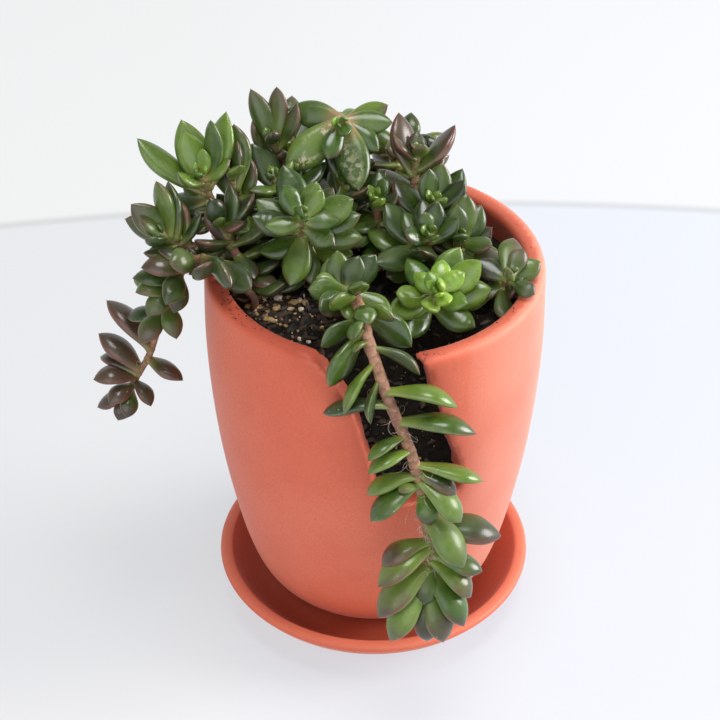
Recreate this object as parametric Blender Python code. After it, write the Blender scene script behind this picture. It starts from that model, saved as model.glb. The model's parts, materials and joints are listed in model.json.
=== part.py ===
import math
import random

import bmesh
import bpy
import numpy as np

# Lengths below are in millimetres, heights above the ground; MM turns them into metres
MM = 0.001
SIDES = 32
GAP = 0.3

# Pot: outer radius at each height, wall thickness and drain hole
POT_FOOT = 4.3
POT_HEIGHT = 158.5
POT_WALL = 7.5
POT_INSIDE = 56.0
DRAIN_RADIUS = 6.0
RIM_EDGE = ((0.0, 2.0), (0.6, 0.6), (2.0, 0.0))
POT_OUTER = (
    (4.3, 27.0), (6.0, 31.4), (10.0, 37.6), (20.0, 46.4), (34.0, 51.6), (54.0, 56.0),
    (78.0, 59.9), (104.0, 62.5), (130.0, 63.6), (158.5, 63.0),
)
POT_INNER_HEIGHTS = (34.0, 54.0, 78.0, 104.0, 130.0)
POT_FLOOR_INSIDE = ((40.5, 23.0), (34.5, 16.0), (25.0, 12.3))

# Slot in the pot's front: edges as azimuth from the front toward the right, in degrees, and height
SLOT_LEFT = (
    (-24.0, 158.5), (-19.5, 156.0), (-15.5, 151.5), (-11.5, 147.0), (-8.8, 140.5),
    (-6.2, 134.0), (-3.7, 122.0), (-0.5, 108.0), (1.8, 98.0), (3.2, 94.2), (5.2, 92.1), (7.6, 91.5),
)
SLOT_RIGHT = (
    (12.5, 158.5), (14.6, 157.6), (15.9, 155.6), (17.0, 152.0), (21.2, 136.7), (24.6, 124.0),
    (27.7, 113.0), (30.4, 102.0), (31.8, 97.0), (31.9, 94.2), (30.6, 92.2), (28.4, 91.5),
)
SLOT_BOTTOM = 91.5
SLOT_SOIL_AZIMUTHS = (10.0, 15.0, 20.0, 25.0, 29.0)
CUT_INNER = 40.0
CUT_OUTER = 80.0
CUT_TOP = 175.0

# Saucer: radius and height around the section, from the underside's centre to the floor's centre
SAUCER = (
    (0.0, 0.0), (41.0, 0.0), (46.0, 1.6), (53.0, 6.2), (59.0, 12.0), (62.2, 16.2), (62.5, 17.4),
    (61.8, 18.4), (60.2, 18.8), (58.2, 18.5), (57.2, 17.4), (54.6, 13.0), (49.6, 7.6), (44.0, 4.7),
    (38.0, 4.0), (0.0, 4.0),
)

# Soil: level at the wall, rise at the middle, and how steeply it falls behind the slot
SOIL_LEVEL = 147.0
SOIL_MOUND = 2.5
SOIL_WAVE = 0.5
SOIL_REPOSE = 2.2
SOIL_SIDE_HEIGHTS = (34.0, 54.0, 78.0)
SOIL_SETTLING = 6
SOIL_RINGS = (0.85, 0.68, 0.48, 0.24)

# Leafy stems. path: centre line from the foot in the soil to the tip.
# leaves: start and end of a group as shares of the stem's length, then one row a leaf:
# bearing from the front toward the right, rise above the horizontal, length, and width factor
STEMS = {
    "hero_rosette": {
        "colour": (0.09, 0.19, 0.05),
        "radius": 2.0,
        "path": (
            (-18, 8, 138), (-18, 8, 150.5), (-22, 4, 158), (-26, -3, 172), (-26, -12, 186),
        ),
        "leaves": (
            (0.48, 0.64, (
                (-45, -40, 21), (5, -48, 15), (-80, -15, 18),
            )),
            (0.7, 0.99, (
                (-18, -40, 20), (88, -6, 22), (-115, 24, 21), (98, 6, 22), (128, 34, 19),
                (-155, 46, 24), (-92, 10, 19), (68, -24, 14), (104, 16, 21), (150, 44, 16),
                (-84, -4, 14), (90, 2, 13), (134, 20, 13), (-135, 42, 14), (-10, 62, 7),
            )),
        ),
    },
    "front_trailing_stem": {
        "colour": (0.13, 0.25, 0.07),
        "radius": 2.3,
        "path": (
            (-14, -20, 138), (-14, -20, 150.5), (-13, -26, 158), (-9, -36, 170), (-5, -48, 170),
            (-3, -58, 167), (1, -66, 158), (5, -70, 147), (9, -72, 137), (13, -74, 126),
            (16, -75, 112), (18, -76, 98), (20, -76, 84), (19, -77, 68),
        ),
        "leaves": (
            (0.15, 0.24, (
                (-150, 50, 16), (130, 38, 20), (-172, 48, 17), (150, 48, 15), (-85, 35, 14),
                (72, -18, 17), (-45, 0, 16), (0, -12, 12),
            )),
            (0.3, 0.38, (
                (70, -26, 22), (-60, -15, 18), (-45, -40, 23), (-40, 15, 9),
            )),
            (0.39, 0.52, (
                (75, -20, 20), (-45, -42, 21), (-35, -60, 17), (84, -5, 26), (-78, -14, 25),
            )),
            (0.56, 0.67, (
                (86, -4, 28), (-50, -6, 17), (-58, -6, 18), (88, -18, 25),
            )),
            (0.69, 0.74, (
                (80, -26, 17), (-88, -22, 20), (62, -30, 22), (-62, -25, 22), (-60, 20, 10),
                (25, -46, 13),
            )),
            (0.79, 0.84, (
                (46, -40, 25), (80, -14, 28),
            )),
            (0.88, 0.95, (
                (-75, -20, 20), (-62, -25, 24), (80, -20, 20), (62, -30, 21), (-10, -48, 15),
            )),
            (0.95, 1.0, (
                (-60, -34, 27), (50, -42, 25), (-38, -50, 29), (28, -54, 25), (4, -60, 24),
            )),
        ),
    },
    "bright_rosette": {
        "colour": (0.22, 0.46, 0.06),
        "radius": 2.0,
        "path": (
            (16, -16, 138), (16, -16, 150.5), (19, -21, 154), (22, -28, 163), (22, -33, 169),
        ),
        "leaves": (
            (0.55, 0.99, (
                (-25, -12, 18), (68, -22, 19), (-58, -2, 19), (98, 2, 22), (-68, 22, 17),
                (145, 40, 21), (-140, 28, 18), (115, 24, 21), (56, 8, 13), (-20, 5, 12),
                (-130, 20, 12), (170, 36, 13), (120, 20, 12), (25, 0, 9), (-150, 30, 8), (20, 60, 7),
            )),
        ),
    },
    "dark_centre_rosette": {
        "colour": (0.06, 0.13, 0.06),
        "radius": 1.9,
        "path": (
            (14, 6, 138), (14, 6, 150.5), (17, 2, 156), (19, -1, 166), (20, -5, 173),
        ),
        "leaves": (
            (0.59, 0.99, (
                (-110, 20, 23), (-15, 5, 15), (40, 5, 15), (-125, 34, 23), (-62, -2, 22),
                (-135, 25, 15), (105, 30, 15), (155, 48, 15), (-170, 50, 16), (-55, 25, 13),
                (-150, 65, 9),
            )),
        ),
    },
    "dark_right_rosette": {
        "colour": (0.07, 0.14, 0.07),
        "radius": 1.9,
        "path": (
            (28, 10, 138), (28, 10, 150.5), (29, 6, 154), (31, 3, 162), (31, 0, 168),
        ),
        "leaves": (
            (0.55, 0.99, (
                (88, 12, 18), (110, 28, 18), (-135, 36, 17), (140, 44, 19),
                (165, 40, 20), (-165, 44, 17), (60, 10, 14), (-20, 50, 8),
            )),
        ),
    },
    "right_rim_rosette": {
        "colour": (0.11, 0.18, 0.11),
        "radius": 1.5,
        "path": (
            (42, -6, 138), (42, -6, 150.5), (44, -10, 152), (47, -16, 160), (49, -21, 166),
        ),
        "leaves": (
            (0.65, 0.99, (
                (35, -40, 19), (-40, -14, 19), (75, 0, 20), (-155, 26, 20), (115, 8, 15),
                (170, 20, 19), (-125, 10, 14), (55, -12, 11), (155, 24, 13), (-10, 45, 7),
            )),
        ),
    },
    "back_right_upright_stem": {
        "colour": (0.09, 0.07, 0.08),
        "radius": 1.8,
        "path": (
            (13, 22, 138), (13, 22, 150.5), (14, 27, 160), (15, 30, 174), (16, 33, 184),
        ),
        "leaves": (
            (0.62, 0.99, (
                (-60, 10, 16), (100, 5, 16), (-125, 8, 17), (135, 30, 18), (-160, 50, 25),
                (125, 34, 23), (178, 50, 13), (-100, 40, 14), (20, 50, 10),
            )),
        ),
    },
    "back_right_rosette": {
        "colour": (0.07, 0.16, 0.06),
        "radius": 1.8,
        "path": (
            (20, 16, 138), (20, 16, 150.5), (21, 15, 156), (21, 14, 166), (22, 13, 175),
        ),
        "leaves": (
            (0.62, 0.99, (
                (120, 0, 17), (140, 42, 25), (-130, 34, 22),
                (164, 48, 21), (-165, 36, 17), (100, 30, 16), (30, 45, 9),
            )),
        ),
    },
    "arched_top_stem": {
        "colour": (0.12, 0.22, 0.07),
        "radius": 1.9,
        "path": (
            (-8, 44, 138), (-8, 44, 150.5), (-10, 46, 168), (-12, 45, 185), (-12, 38, 195),
            (-12, 32, 198),
        ),
        "leaves": (
            (0.6, 0.72, (
                (80, 10, 14), (-90, 10, 14),
            )),
            (0.83, 0.99, (
                (105, 15, 19), (-165, -25, 15), (150, -15, 14), (88, -6, 19), (-108, 2, 22),
                (60, -30, 18), (-60, -30, 28), (28, -48, 28), (-25, -36, 16), (10, -5, 9),
            )),
        ),
    },
    "upper_left_rosette": {
        "colour": (0.14, 0.25, 0.08),
        "radius": 1.9,
        "path": (
            (-46, 14, 138), (-46, 14, 150.5), (-54, 13, 162), (-60, 12, 176), (-63, 11, 188),
        ),
        "leaves": (
            (0.6, 0.76, (
                (-100, 8, 18), (60, 10, 15), (-30, -10, 15), (-130, 15, 15),
            )),
            (0.85, 0.99, (
                (-112, 30, 33, 0.72), (-150, 46, 28, 0.9), (162, 54, 29, 0.85), (140, 45, 27, 0.8),
                (-150, 50, 21), (-60, 30, 13), (100, 40, 13), (170, 66, 11),
            )),
        ),
    },
    "left_rim_rosette": {
        "colour": (0.06, 0.08, 0.06),
        "radius": 1.8,
        "path": (
            (-45, 4, 138), (-45, 4, 150.5), (-50, 2, 159), (-60, -1, 165), (-70, -4, 168),
            (-77, -6, 174),
        ),
        "leaves": (
            (0.58, 0.66, (
                (-20, -20, 15), (-65, -24, 16),
            )),
            (0.72, 0.99, (
                (-40, -30, 14), (165, 35, 18), (-85, -22, 17), (-160, 44, 22), (-105, 10, 24),
                (130, 40, 14), (-60, -5, 14), (175, 50, 22), (-120, 34, 20), (-145, 50, 22),
                (-40, 20, 11), (-80, 45, 12),
            )),
        ),
    },
    "left_hanging_sprig": {
        "colour": (0.10, 0.08, 0.07),
        "radius": 1.6,
        "path": (
            (-44, -14, 138), (-44, -14, 150.5), (-50, -14, 158), (-62, -14, 169), (-71, -13, 161),
            (-77, -12, 146), (-82, -10, 130), (-85, -10, 121), (-90, -9, 111), (-95, -9, 100),
        ),
        "leaves": (
            (0.3, 0.44, (
                (52, -10, 20), (-120, 5, 17), (-5, -30, 15),
            )),
            (0.49, 0.61, (
                (-40, -20, 15), (-60, 5, 15), (-130, 5, 18), (20, -40, 14), (-35, -25, 16),
                (-110, -20, 16),
            )),
            (0.77, 0.81, (
                (-125, 32, 25), (62, -20, 16),
            )),
            (0.87, 0.99, (
                (-115, 34, 21), (-120, 8, 18), (-72, 14, 17), (45, -30, 12), (-40, -5, 13),
                (-5, -30, 12), (-85, -30, 14), (-30, -45, 10),
            )),
        ),
    },
    "centre_left_rosette": {
        "colour": (0.09, 0.15, 0.07),
        "radius": 1.9,
        "path": (
            (-28, 18, 138), (-28, 18, 150.5), (-30, 18, 162), (-34, 19, 173), (-37, 20, 181),
        ),
        "leaves": (
            (0.62, 0.98, (
                (110, -5, 21), (-100, 5, 20), (60, 5, 21), (165, 35, 21),
                (120, 35, 21), (-140, 38, 21), (-40, 20, 16), (90, 55, 11),
            )),
        ),
    },
    "inner_back_rosette": {
        "colour": (0.08, 0.17, 0.06),
        "radius": 1.9,
        "path": (
            (-14, 28, 138), (-14, 28, 150.5), (-13, 27, 163), (-11, 25, 176),
        ),
        "leaves": (
            (0.48, 0.98, (
                (80, 0, 22), (150, 10, 23), (-150, 10, 23), (100, 25, 23),
                (-60, 25, 21), (170, 30, 23), (40, 40, 18), (-130, 45, 18),
            )),
        ),
    },
    "centre_back_rosette": {
        "colour": (0.10, 0.22, 0.07),
        "radius": 1.9,
        "path": (
            (2, 14, 138), (2, 14, 150.5), (2, 15, 156), (1, 15, 168), (0, 14, 176),
        ),
        "leaves": (
            (0.62, 0.99, (
                (-10, -20, 22), (-55, -4, 19), (105, 16, 21), (-130, 14, 21),
                (160, 22, 24), (-175, 34, 19), (75, 20, 16), (-90, 40, 15), (15, 30, 9), (120, 60, 9),
            )),
        ),
    },
    "back_left_upright_stem": {
        "colour": (0.08, 0.09, 0.08),
        "radius": 1.9,
        "path": (
            (-32, 28, 138), (-32, 28, 150.5), (-34, 34, 164), (-36, 37, 178), (-38, 35, 188),
        ),
        "leaves": (
            (0.5, 0.7, (
                (-60, 0, 15), (10, 0, 14), (180, 20, 15), (-100, 35, 15),
            )),
            (0.8, 0.99, (
                (-108, 55, 20, 0.75), (20, 15, 13), (-60, 20, 13), (112, 52, 21, 0.78),
                (-128, 62, 24, 0.72), (172, 66, 22, 0.72), (0, 50, 10),
            )),
        ),
    },
    "middle_left_stem": {
        "colour": (0.09, 0.15, 0.07),
        "radius": 1.9,
        "path": (
            (-38, 14, 138), (-38, 14, 150.5), (-46, 14, 160), (-51, 14, 176), (-53, 15, 187),
        ),
        "leaves": (
            (0.62, 0.99, (
                (-100, 10, 16), (20, -15, 15), (130, 36, 20), (-150, 45, 22), (85, 12, 15),
                (176, 54, 25), (-95, 35, 16), (150, 50, 15), (30, 45, 11),
            )),
        ),
    },
    "dark_left_stem": {
        "colour": (0.05, 0.06, 0.05),
        "radius": 1.9,
        "path": (
            (-46, -6, 138), (-46, -6, 150.5), (-49, -5, 159), (-53, -2, 168), (-57, 0, 176),
        ),
        "leaves": (
            (0.42, 0.6, (
                (-50, -20, 18), (60, -5, 15), (-100, 5, 17), (120, 10, 15),
            )),
            (0.66, 0.99, (
                (35, -25, 14), (-130, 38, 21), (110, 38, 17), (-75, 10, 15),
                (172, 52, 20), (135, 45, 18), (-100, 40, 14), (60, 25, 13), (0, 65, 7),
            )),
        ),
    },
    "back_rim_left_stem": {
        "colour": (0.08, 0.13, 0.07),
        "radius": 1.9,
        "path": (
            (-24, 40, 138), (-24, 40, 150.5), (-26, 45, 161), (-30, 55, 169), (-33, 66, 172),
        ),
        "leaves": (
            (0.58, 0.99, (
                (150, -40, 20), (-110, -10, 22), (90, -5, 20), (-150, -20, 22), (170, 5, 24),
                (-90, 25, 19), (120, 20, 22), (30, 20, 17), (180, 40, 17), (-140, 45, 14),
            )),
        ),
    },
    "back_rim_stem": {
        "colour": (0.08, 0.14, 0.06),
        "radius": 1.9,
        "path": (
            (8, 46, 138), (8, 46, 150.5), (9, 52, 158), (11, 62, 166), (13, 71, 160),
        ),
        "leaves": (
            (0.58, 0.99, (
                (90, 0, 21), (-90, 0, 20), (150, -50, 21), (-150, -45, 21), (120, -10, 23),
                (-120, -5, 21), (180, -20, 23), (60, 25, 17), (-40, 30, 16), (170, 20, 16),
            )),
        ),
    },
}
STEM_SIDES = 5
PATH_STEPS = 2
STEM_TAPER = 0.75
HOLE_SIDES = 6
HOLE_TOP = 175.0

# Colour, in linear values, and roughness of each material
POT_FINISH = ((0.58, 0.16, 0.09), 0.75)
SAUCER_FINISH = ((0.55, 0.15, 0.085), 0.75)
SOIL_FINISH = ((0.012, 0.010, 0.008), 0.95)
LEAF_ROUGHNESS = 0.45

# Leaf section: height of the upper face and of the keel as shares of the half width
LEAF_HALF_BASE = 1.2
LEAF_HALF_SLOPE = 0.18
LEAF_TOP = 0.22
LEAF_KEEL = 0.58
LEAF_FACE = 0.12
LEAF_SECTIONS = (0.0, 0.32, 0.72)
LEAF_STATIONS = np.array([0.0, 0.1, 0.22, 0.36, 0.5, 0.64, 0.78, 0.9, 0.97])
LEAF_CURL = (18.0, 34.0)
LEAF_TWIST = 7.0
LEAF_CLEARANCE = 0.45
POT_CLEARANCE = 0.5
STEM_CLEARANCE = 0.6
SEED = 77


def outer_radius(z):
    return np.interp(z, [p[0] for p in POT_OUTER], [p[1] for p in POT_OUTER])


def slot_floor():
    # Points along the slot's lower border on the wall's inner face
    border = [p for p in SLOT_LEFT if p[1] < SOIL_LEVEL + SOIL_MOUND]
    border += [(azimuth, SLOT_BOTTOM) for azimuth in SLOT_SOIL_AZIMUTHS]
    points = []
    for azimuth, z in border:
        r = outer_radius(z) - POT_WALL
        points.append((r * math.sin(math.radians(azimuth)), -r * math.cos(math.radians(azimuth)), z))
    return np.array(points)


SLOT_FLOOR = slot_floor()


def soil_top(x, y):
    # A gentle mound that falls away to the slot's lower border
    x = np.asarray(x, float)
    y = np.asarray(y, float)
    r = np.hypot(x, y)
    level = SOIL_LEVEL + SOIL_MOUND * np.cos(np.minimum(r / POT_INSIDE, 1.0) * math.pi / 2)
    level = level + SOIL_WAVE * np.sin(0.21 * x + 0.4) * np.sin(0.18 * y - 0.7)
    away = np.hypot(x[..., None] - SLOT_FLOOR[:, 0], y[..., None] - SLOT_FLOOR[:, 1])
    slope = (SLOT_FLOOR[:, 2] + SOIL_REPOSE * away).min(axis=-1)
    return np.minimum(level, slope)


def unit(v):
    return v / np.linalg.norm(v)


def heading(bearing, rise):
    b = math.radians(bearing)
    r = math.radians(rise)
    return np.array([math.sin(b) * math.cos(r), -math.cos(b) * math.cos(r), math.sin(r)])


def stem_path(points, steps):
    # Straight in its hole, then a smooth curve through the points
    p = np.array(points, float)
    q = np.vstack([2 * p[0] - p[1], p, 2 * p[-1] - p[-2]])
    path = [p[0]]
    for i in range(1, len(p) - 1):
        a, b, c, d = q[i:i + 4]
        for k in range(steps):
            t = k / steps
            path.append(0.5 * (2 * b + (c - a) * t + (2 * a - 5 * b + 4 * c - d) * t * t
                               + (3 * b - a - 3 * c + d) * t ** 3))
    path.append(p[-1])
    return np.array(path)


def along_stem(path, share):
    lengths = np.linalg.norm(np.diff(path, axis=0), axis=1)
    reached = np.concatenate([[0.0], np.cumsum(lengths)])
    target = share * reached[-1]
    i = min(int(np.searchsorted(reached, target, side="right")) - 1, len(lengths) - 1)
    axis = (path[i + 1] - path[i]) / lengths[i]
    return path[i] + axis * (target - reached[i]), axis


def leaf_width(t):
    # Half width along the leaf: a narrow base, widest past the middle, pointed
    return 3.05 * t ** 0.85 * (1 - t) ** 0.72 * (0.86 + 0.14 * t) + 0.38 * (1 - t) ** 4


def leaf_section(leaf, t):
    # Centre line of even bend toward the leaf's upper side
    k = leaf["curl"]
    turn = k * (t - 0.5)
    ahead = (np.sin(turn) + math.sin(k / 2)) / k
    above = (math.cos(k / 2) - np.cos(turn)) / k
    centre = leaf["base"] + leaf["length"] * (ahead * leaf["d"] + above * leaf["n"])
    normal = leaf["n"] * np.cos(turn) - leaf["d"] * np.sin(turn)
    return centre, normal


def make_leaf(base, axis, bearing, rise, length, curl, twist, stout):
    d = heading(bearing, rise)
    n = axis - (axis @ d) * d
    lift = np.array([0.0, 0.0, 1.0]) - d[2] * d
    n = unit(n + max(0.0, 0.5 - np.linalg.norm(n)) * lift)
    s = np.cross(d, n)
    turn = math.radians(twist)
    n, s = n * math.cos(turn) + s * math.sin(turn), s * math.cos(turn) - n * math.sin(turn)
    leaf = {
        "base": base, "d": d, "n": n, "s": s, "length": length,
        "curl": math.radians(curl), "half": (LEAF_HALF_BASE + LEAF_HALF_SLOPE * length) * stout,
    }
    centre, normal = leaf_section(leaf, LEAF_STATIONS[:, None])
    along = leaf["curl"] * (LEAF_STATIONS[:, None] - 0.5)
    half = leaf["half"] * leaf_width(LEAF_STATIONS)[:, None, None]
    angle = np.radians(np.arange(8) * 45.0)
    up = np.where(np.sin(angle) > 0, LEAF_TOP, LEAF_KEEL) * np.sin(angle)
    skin = centre[:, None] + half * (np.cos(angle)[None, :, None] * s + up[None, :, None] * normal[:, None])
    leaf["centres"] = centre
    leaf["normals"] = normal
    leaf["tangents"] = np.cos(along) * d + np.sin(along) * n
    leaf["skin"] = skin.reshape(-1, 3)
    leaf["middle"] = centre.mean(axis=0)
    return leaf


def within(points, leaf, margin):
    # Which points lie in the leaf grown by the margin, and how far along it
    gap = points[:, None] - leaf["centres"]
    k = (gap ** 2).sum(-1).argmin(1)
    gap = gap[np.arange(len(points)), k]
    t = LEAF_STATIONS[k] + (gap * leaf["tangents"][k]).sum(1) / leaf["length"]
    across = gap @ leaf["s"]
    up = (gap * leaf["normals"][k]).sum(1)
    half = leaf["half"] * leaf_width(np.clip(t, 0, 1))
    depth = half * np.where(up > 0, LEAF_TOP, LEAF_KEEL) + margin
    ends = margin / leaf["length"]
    inside = (across / (half + margin)) ** 2 + (up / depth) ** 2 < 1
    return inside & (t > -ends) & (t < 1 + ends), t


def in_pot(points, margin):
    # Which points lie in the wall or the soil, grown by the margin
    x, y, z = points.T
    r = np.hypot(x, y)
    azimuth = np.degrees(np.arctan2(x, -y))
    wide = math.degrees(margin / POT_INSIDE)
    left = np.interp(z, [p[1] for p in SLOT_LEFT][::-1], [p[0] for p in SLOT_LEFT][::-1]) + wide
    right = np.interp(z, [p[1] for p in SLOT_RIGHT][::-1], [p[0] for p in SLOT_RIGHT][::-1]) - wide
    in_slot = (azimuth > left) & (azimuth < right) & (z > SLOT_BOTTOM + margin)
    outer = outer_radius(z)
    wall = (r > outer - POT_WALL - margin) & (r < outer + margin) & (z < POT_HEIGHT + margin) & ~in_slot
    soil = (r < outer - POT_WALL) & (z < soil_top(x, y) + margin)
    return wall | soil


def leaf_tries():
    # Small turns and lifts for a leaf that would cross something, the smallest first
    tries = [(0, 0, 1.0)]
    for step in (5, 10, 15, 20, 26, 32):
        half = step // 2
        tries += [(0, step, 1.0), (step, 0, 1.0), (-step, 0, 1.0)]
        tries += [(step, half, 1.0), (-step, half, 1.0), (0, -step, 1.0)]
    for shrink in (0.88, 0.76, 0.64):
        for step in (0, 8, 16, 26):
            half = step // 2
            tries += [(0, step, shrink), (step, half, shrink), (-step, half, shrink), (0, -step, shrink)]
    return tries


def crossings(leaf, name, tubes, placed):
    # Points shared with other pieces, and points shared with leaves of the same stem
    skin = leaf["skin"]
    free = skin[16:]
    others = int(in_pot(free, POT_CLEARANCE).sum())
    for other, tube in tubes.items():
        if other != name:
            near = ((free[:, None] - tube) ** 2).sum(-1).min(1)
            others += int((near < (STEMS[other]["radius"] + STEM_CLEARANCE) ** 2).sum())
    own = 0
    outward = np.repeat(LEAF_STATIONS, 8) > 0.42
    for other in placed:
        reach = (leaf["length"] + other["length"]) / 2 + 2
        if np.linalg.norm(leaf["middle"] - other["middle"]) > reach:
            continue
        same = other["stem"] == name
        margin = -0.25 if same else LEAF_CLEARANCE
        first, along_first = within(skin, other, margin)
        second, along_second = within(other["skin"], leaf, margin)
        if same:
            own += int((first & outward & (along_first > 0.35)).sum())
            own += int((second & outward & (along_second > 0.35)).sum())
        else:
            others += int(first.sum() + second.sum())
    return others, own


def lay_out_leaves():
    chance = random.Random(SEED)
    tries = leaf_tries()
    paths = {name: stem_path(stem["path"], 6) for name, stem in STEMS.items()}
    tubes = {}
    for name, path in paths.items():
        tubes[name] = np.array([along_stem(path, k / 60)[0] for k in range(61)])
    placed = []
    for name, stem in STEMS.items():
        for start, end, rows in stem["leaves"]:
            for k, row in enumerate(rows):
                share = start + (end - start) * k / max(1, len(rows) - 1)
                base, axis = along_stem(paths[name], share)
                curl = chance.uniform(*LEAF_CURL)
                twist = chance.uniform(-LEAF_TWIST, LEAF_TWIST)
                stout = chance.uniform(0.95, 1.05) * (row[3] if len(row) > 3 else 1.0)
                best = None
                for turn, lift, shrink in tries:
                    leaf = make_leaf(base, axis, row[0] + turn, row[1] + lift, row[2] * shrink,
                                     curl, twist, stout)
                    others, own = crossings(leaf, name, tubes, placed)
                    change = (abs(turn) + abs(lift)) * 0.12
                    score = others * 1000 + own * 3 + change + (1 - shrink) * 30
                    if best is None or score < best[0]:
                        best = (score, leaf, others)
                    if others == 0 and own == 0:
                        break
                    if best[0] < min(change, 12):
                        break
                if best[2] == 0:
                    best[1]["stem"] = name
                    best[1]["share"] = share
                    placed.append(best[1])
    return placed


def clear_scene():
    for obj in list(bpy.data.objects):
        bpy.data.objects.remove(obj, do_unlink=True)


def paint(obj, name, colour, roughness):
    # One plain material on the whole object
    made = bpy.data.materials.new(name)
    made.use_nodes = True
    shader = made.node_tree.nodes["Principled BSDF"]
    shader.inputs["Base Color"].default_value = (*colour, 1.0)
    shader.inputs["Roughness"].default_value = roughness
    shader.inputs["Metallic"].default_value = 0.0
    obj.data.materials.clear()
    obj.data.materials.append(made)


def mesh_object(name, points, faces, smooth=False):
    mesh = bpy.data.meshes.new(name)
    mesh.from_pydata([tuple(float(c) * MM for c in p) for p in points], [], faces)
    bm = bmesh.new()
    bm.from_mesh(mesh)
    bmesh.ops.recalc_face_normals(bm, faces=bm.faces)
    bmesh.ops.triangulate(bm, faces=bm.faces)
    bm.to_mesh(mesh)
    bm.free()
    if smooth:
        mesh.shade_smooth()
    made = bpy.data.objects.new(name, mesh)
    bpy.context.scene.collection.objects.link(made)
    return made


def revolve(name, profile, closed):
    # Turns (radius, height) points about the pot's axis; a zero radius becomes one point
    points = []
    rings = []
    for r, z in profile:
        if r == 0.0:
            rings.append([len(points)] * SIDES)
            points.append((0.0, 0.0, z))
            continue
        rings.append(list(range(len(points), len(points) + SIDES)))
        for k in range(SIDES):
            a = 2 * math.pi * k / SIDES
            points.append((r * math.cos(a), r * math.sin(a), z))
    faces = []
    pairs = list(zip(rings, rings[1:]))
    if closed:
        pairs.append((rings[-1], rings[0]))
    for low, high in pairs:
        for k in range(SIDES):
            j = (k + 1) % SIDES
            corners = [low[k], low[j], high[j], high[k]]
            faces.append(list(dict.fromkeys(corners)))
    return mesh_object(name, points, faces, smooth=True)


def boolean(target, operation, other, solver):
    # other: an object, or a collection of objects; both are used up
    change = target.modifiers.new("change", "BOOLEAN")
    change.operation = operation
    change.solver = solver
    if isinstance(other, bpy.types.Collection):
        change.operand_type = "COLLECTION"
        change.collection = other
        used = list(other.objects)
    else:
        change.object = other
        used = [other]
    bpy.context.view_layer.objects.active = target
    bpy.ops.object.modifier_apply(modifier=change.name)
    for obj in used:
        bpy.data.objects.remove(obj, do_unlink=True)
    if isinstance(other, bpy.types.Collection):
        bpy.data.collections.remove(other)


def drop_inner_shells(target):
    # Leaf roots can close small pockets between them; the pockets are filled
    bm = bmesh.new()
    bm.from_mesh(target.data)
    waiting = set(bm.faces)
    while waiting:
        start = waiting.pop()
        shell = [start]
        for face in shell:
            for edge in face.edges:
                for near in edge.link_faces:
                    if near in waiting:
                        waiting.remove(near)
                        shell.append(near)
        volume = 0.0
        for face in shell:
            a = face.verts[0].co
            for b, c in zip(face.verts[1:], face.verts[2:]):
                volume += a.dot(b.co.cross(c.co))
        if volume < 0:
            bmesh.ops.delete(bm, geom=shell, context="FACES")
    loose = [v for v in bm.verts if not v.link_faces]
    bmesh.ops.delete(bm, geom=loose, context="VERTS")
    bm.to_mesh(target.data)
    bm.free()


def inner_wall(heights, offset):
    # Points down the pot's inside to its floor, moved in by the offset
    side = [(float(outer_radius(z)) - POT_WALL - offset, z) for z in heights]
    floor = [(r - offset, z + offset) for r, z in POT_FLOOR_INSIDE]
    return side[::-1] + floor


def make_pot():
    outer = [(r, z) for z, r in POT_OUTER[:-1]]
    rim_outer = POT_OUTER[-1][1]
    rim_inner = rim_outer - POT_WALL
    rim = [(rim_outer - inward, POT_HEIGHT - down) for inward, down in RIM_EDGE]
    rim += [(rim_inner + inward, POT_HEIGHT - down) for inward, down in RIM_EDGE[::-1]]
    profile = [(DRAIN_RADIUS, POT_FOOT)] + outer + rim
    profile += inner_wall(POT_INNER_HEIGHTS, 0.0) + [(DRAIN_RADIUS, POT_FLOOR_INSIDE[-1][1])]
    pot = revolve("pot", profile, closed=True)
    boolean(pot, "DIFFERENCE", make_slot_cutter(), "EXACT")
    return pot


def make_slot_cutter():
    outline = [(SLOT_LEFT[0][0], CUT_TOP)] + list(SLOT_LEFT)
    outline += list(SLOT_RIGHT)[::-1] + [(SLOT_RIGHT[0][0], CUT_TOP)]
    points = []
    for radius in (CUT_INNER, CUT_OUTER):
        for azimuth, z in outline:
            a = math.radians(azimuth)
            points.append((radius * math.sin(a), -radius * math.cos(a), z))
    n = len(outline)
    faces = [list(range(n)), list(range(2 * n - 1, n - 1, -1))]
    for k in range(n):
        j = (k + 1) % n
        faces.append([k, k + n, j + n, j])
    return mesh_object("slot_cutter", points, faces)


def make_soil():
    # Rings of points up the pot's inside, then inward over the soil's surface
    low = inner_wall(SOIL_SIDE_HEIGHTS, GAP)[::-1]
    points = [(0.0, 0.0, low[0][1])]
    rings = []
    for step in range(len(low) + 2 + len(SOIL_RINGS)):
        rings.append(list(range(len(points), len(points) + SIDES)))
        for k in range(SIDES):
            a = 2 * math.pi * k / SIDES
            points.append(soil_point(low, step, math.cos(a), math.sin(a)))
    points.append((0.0, 0.0, float(soil_top(0.0, 0.0))))
    faces = []
    for k in range(SIDES):
        j = (k + 1) % SIDES
        faces.append([0, rings[0][j], rings[0][k]])
        faces.append([rings[-1][k], rings[-1][j], len(points) - 1])
        for lower, upper in zip(rings, rings[1:]):
            faces.append([lower[k], lower[j], upper[j], upper[k]])
    soil = mesh_object("soil", points, faces)
    boolean(soil, "DIFFERENCE", make_stem_holes(), "EXACT")
    return soil


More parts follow.
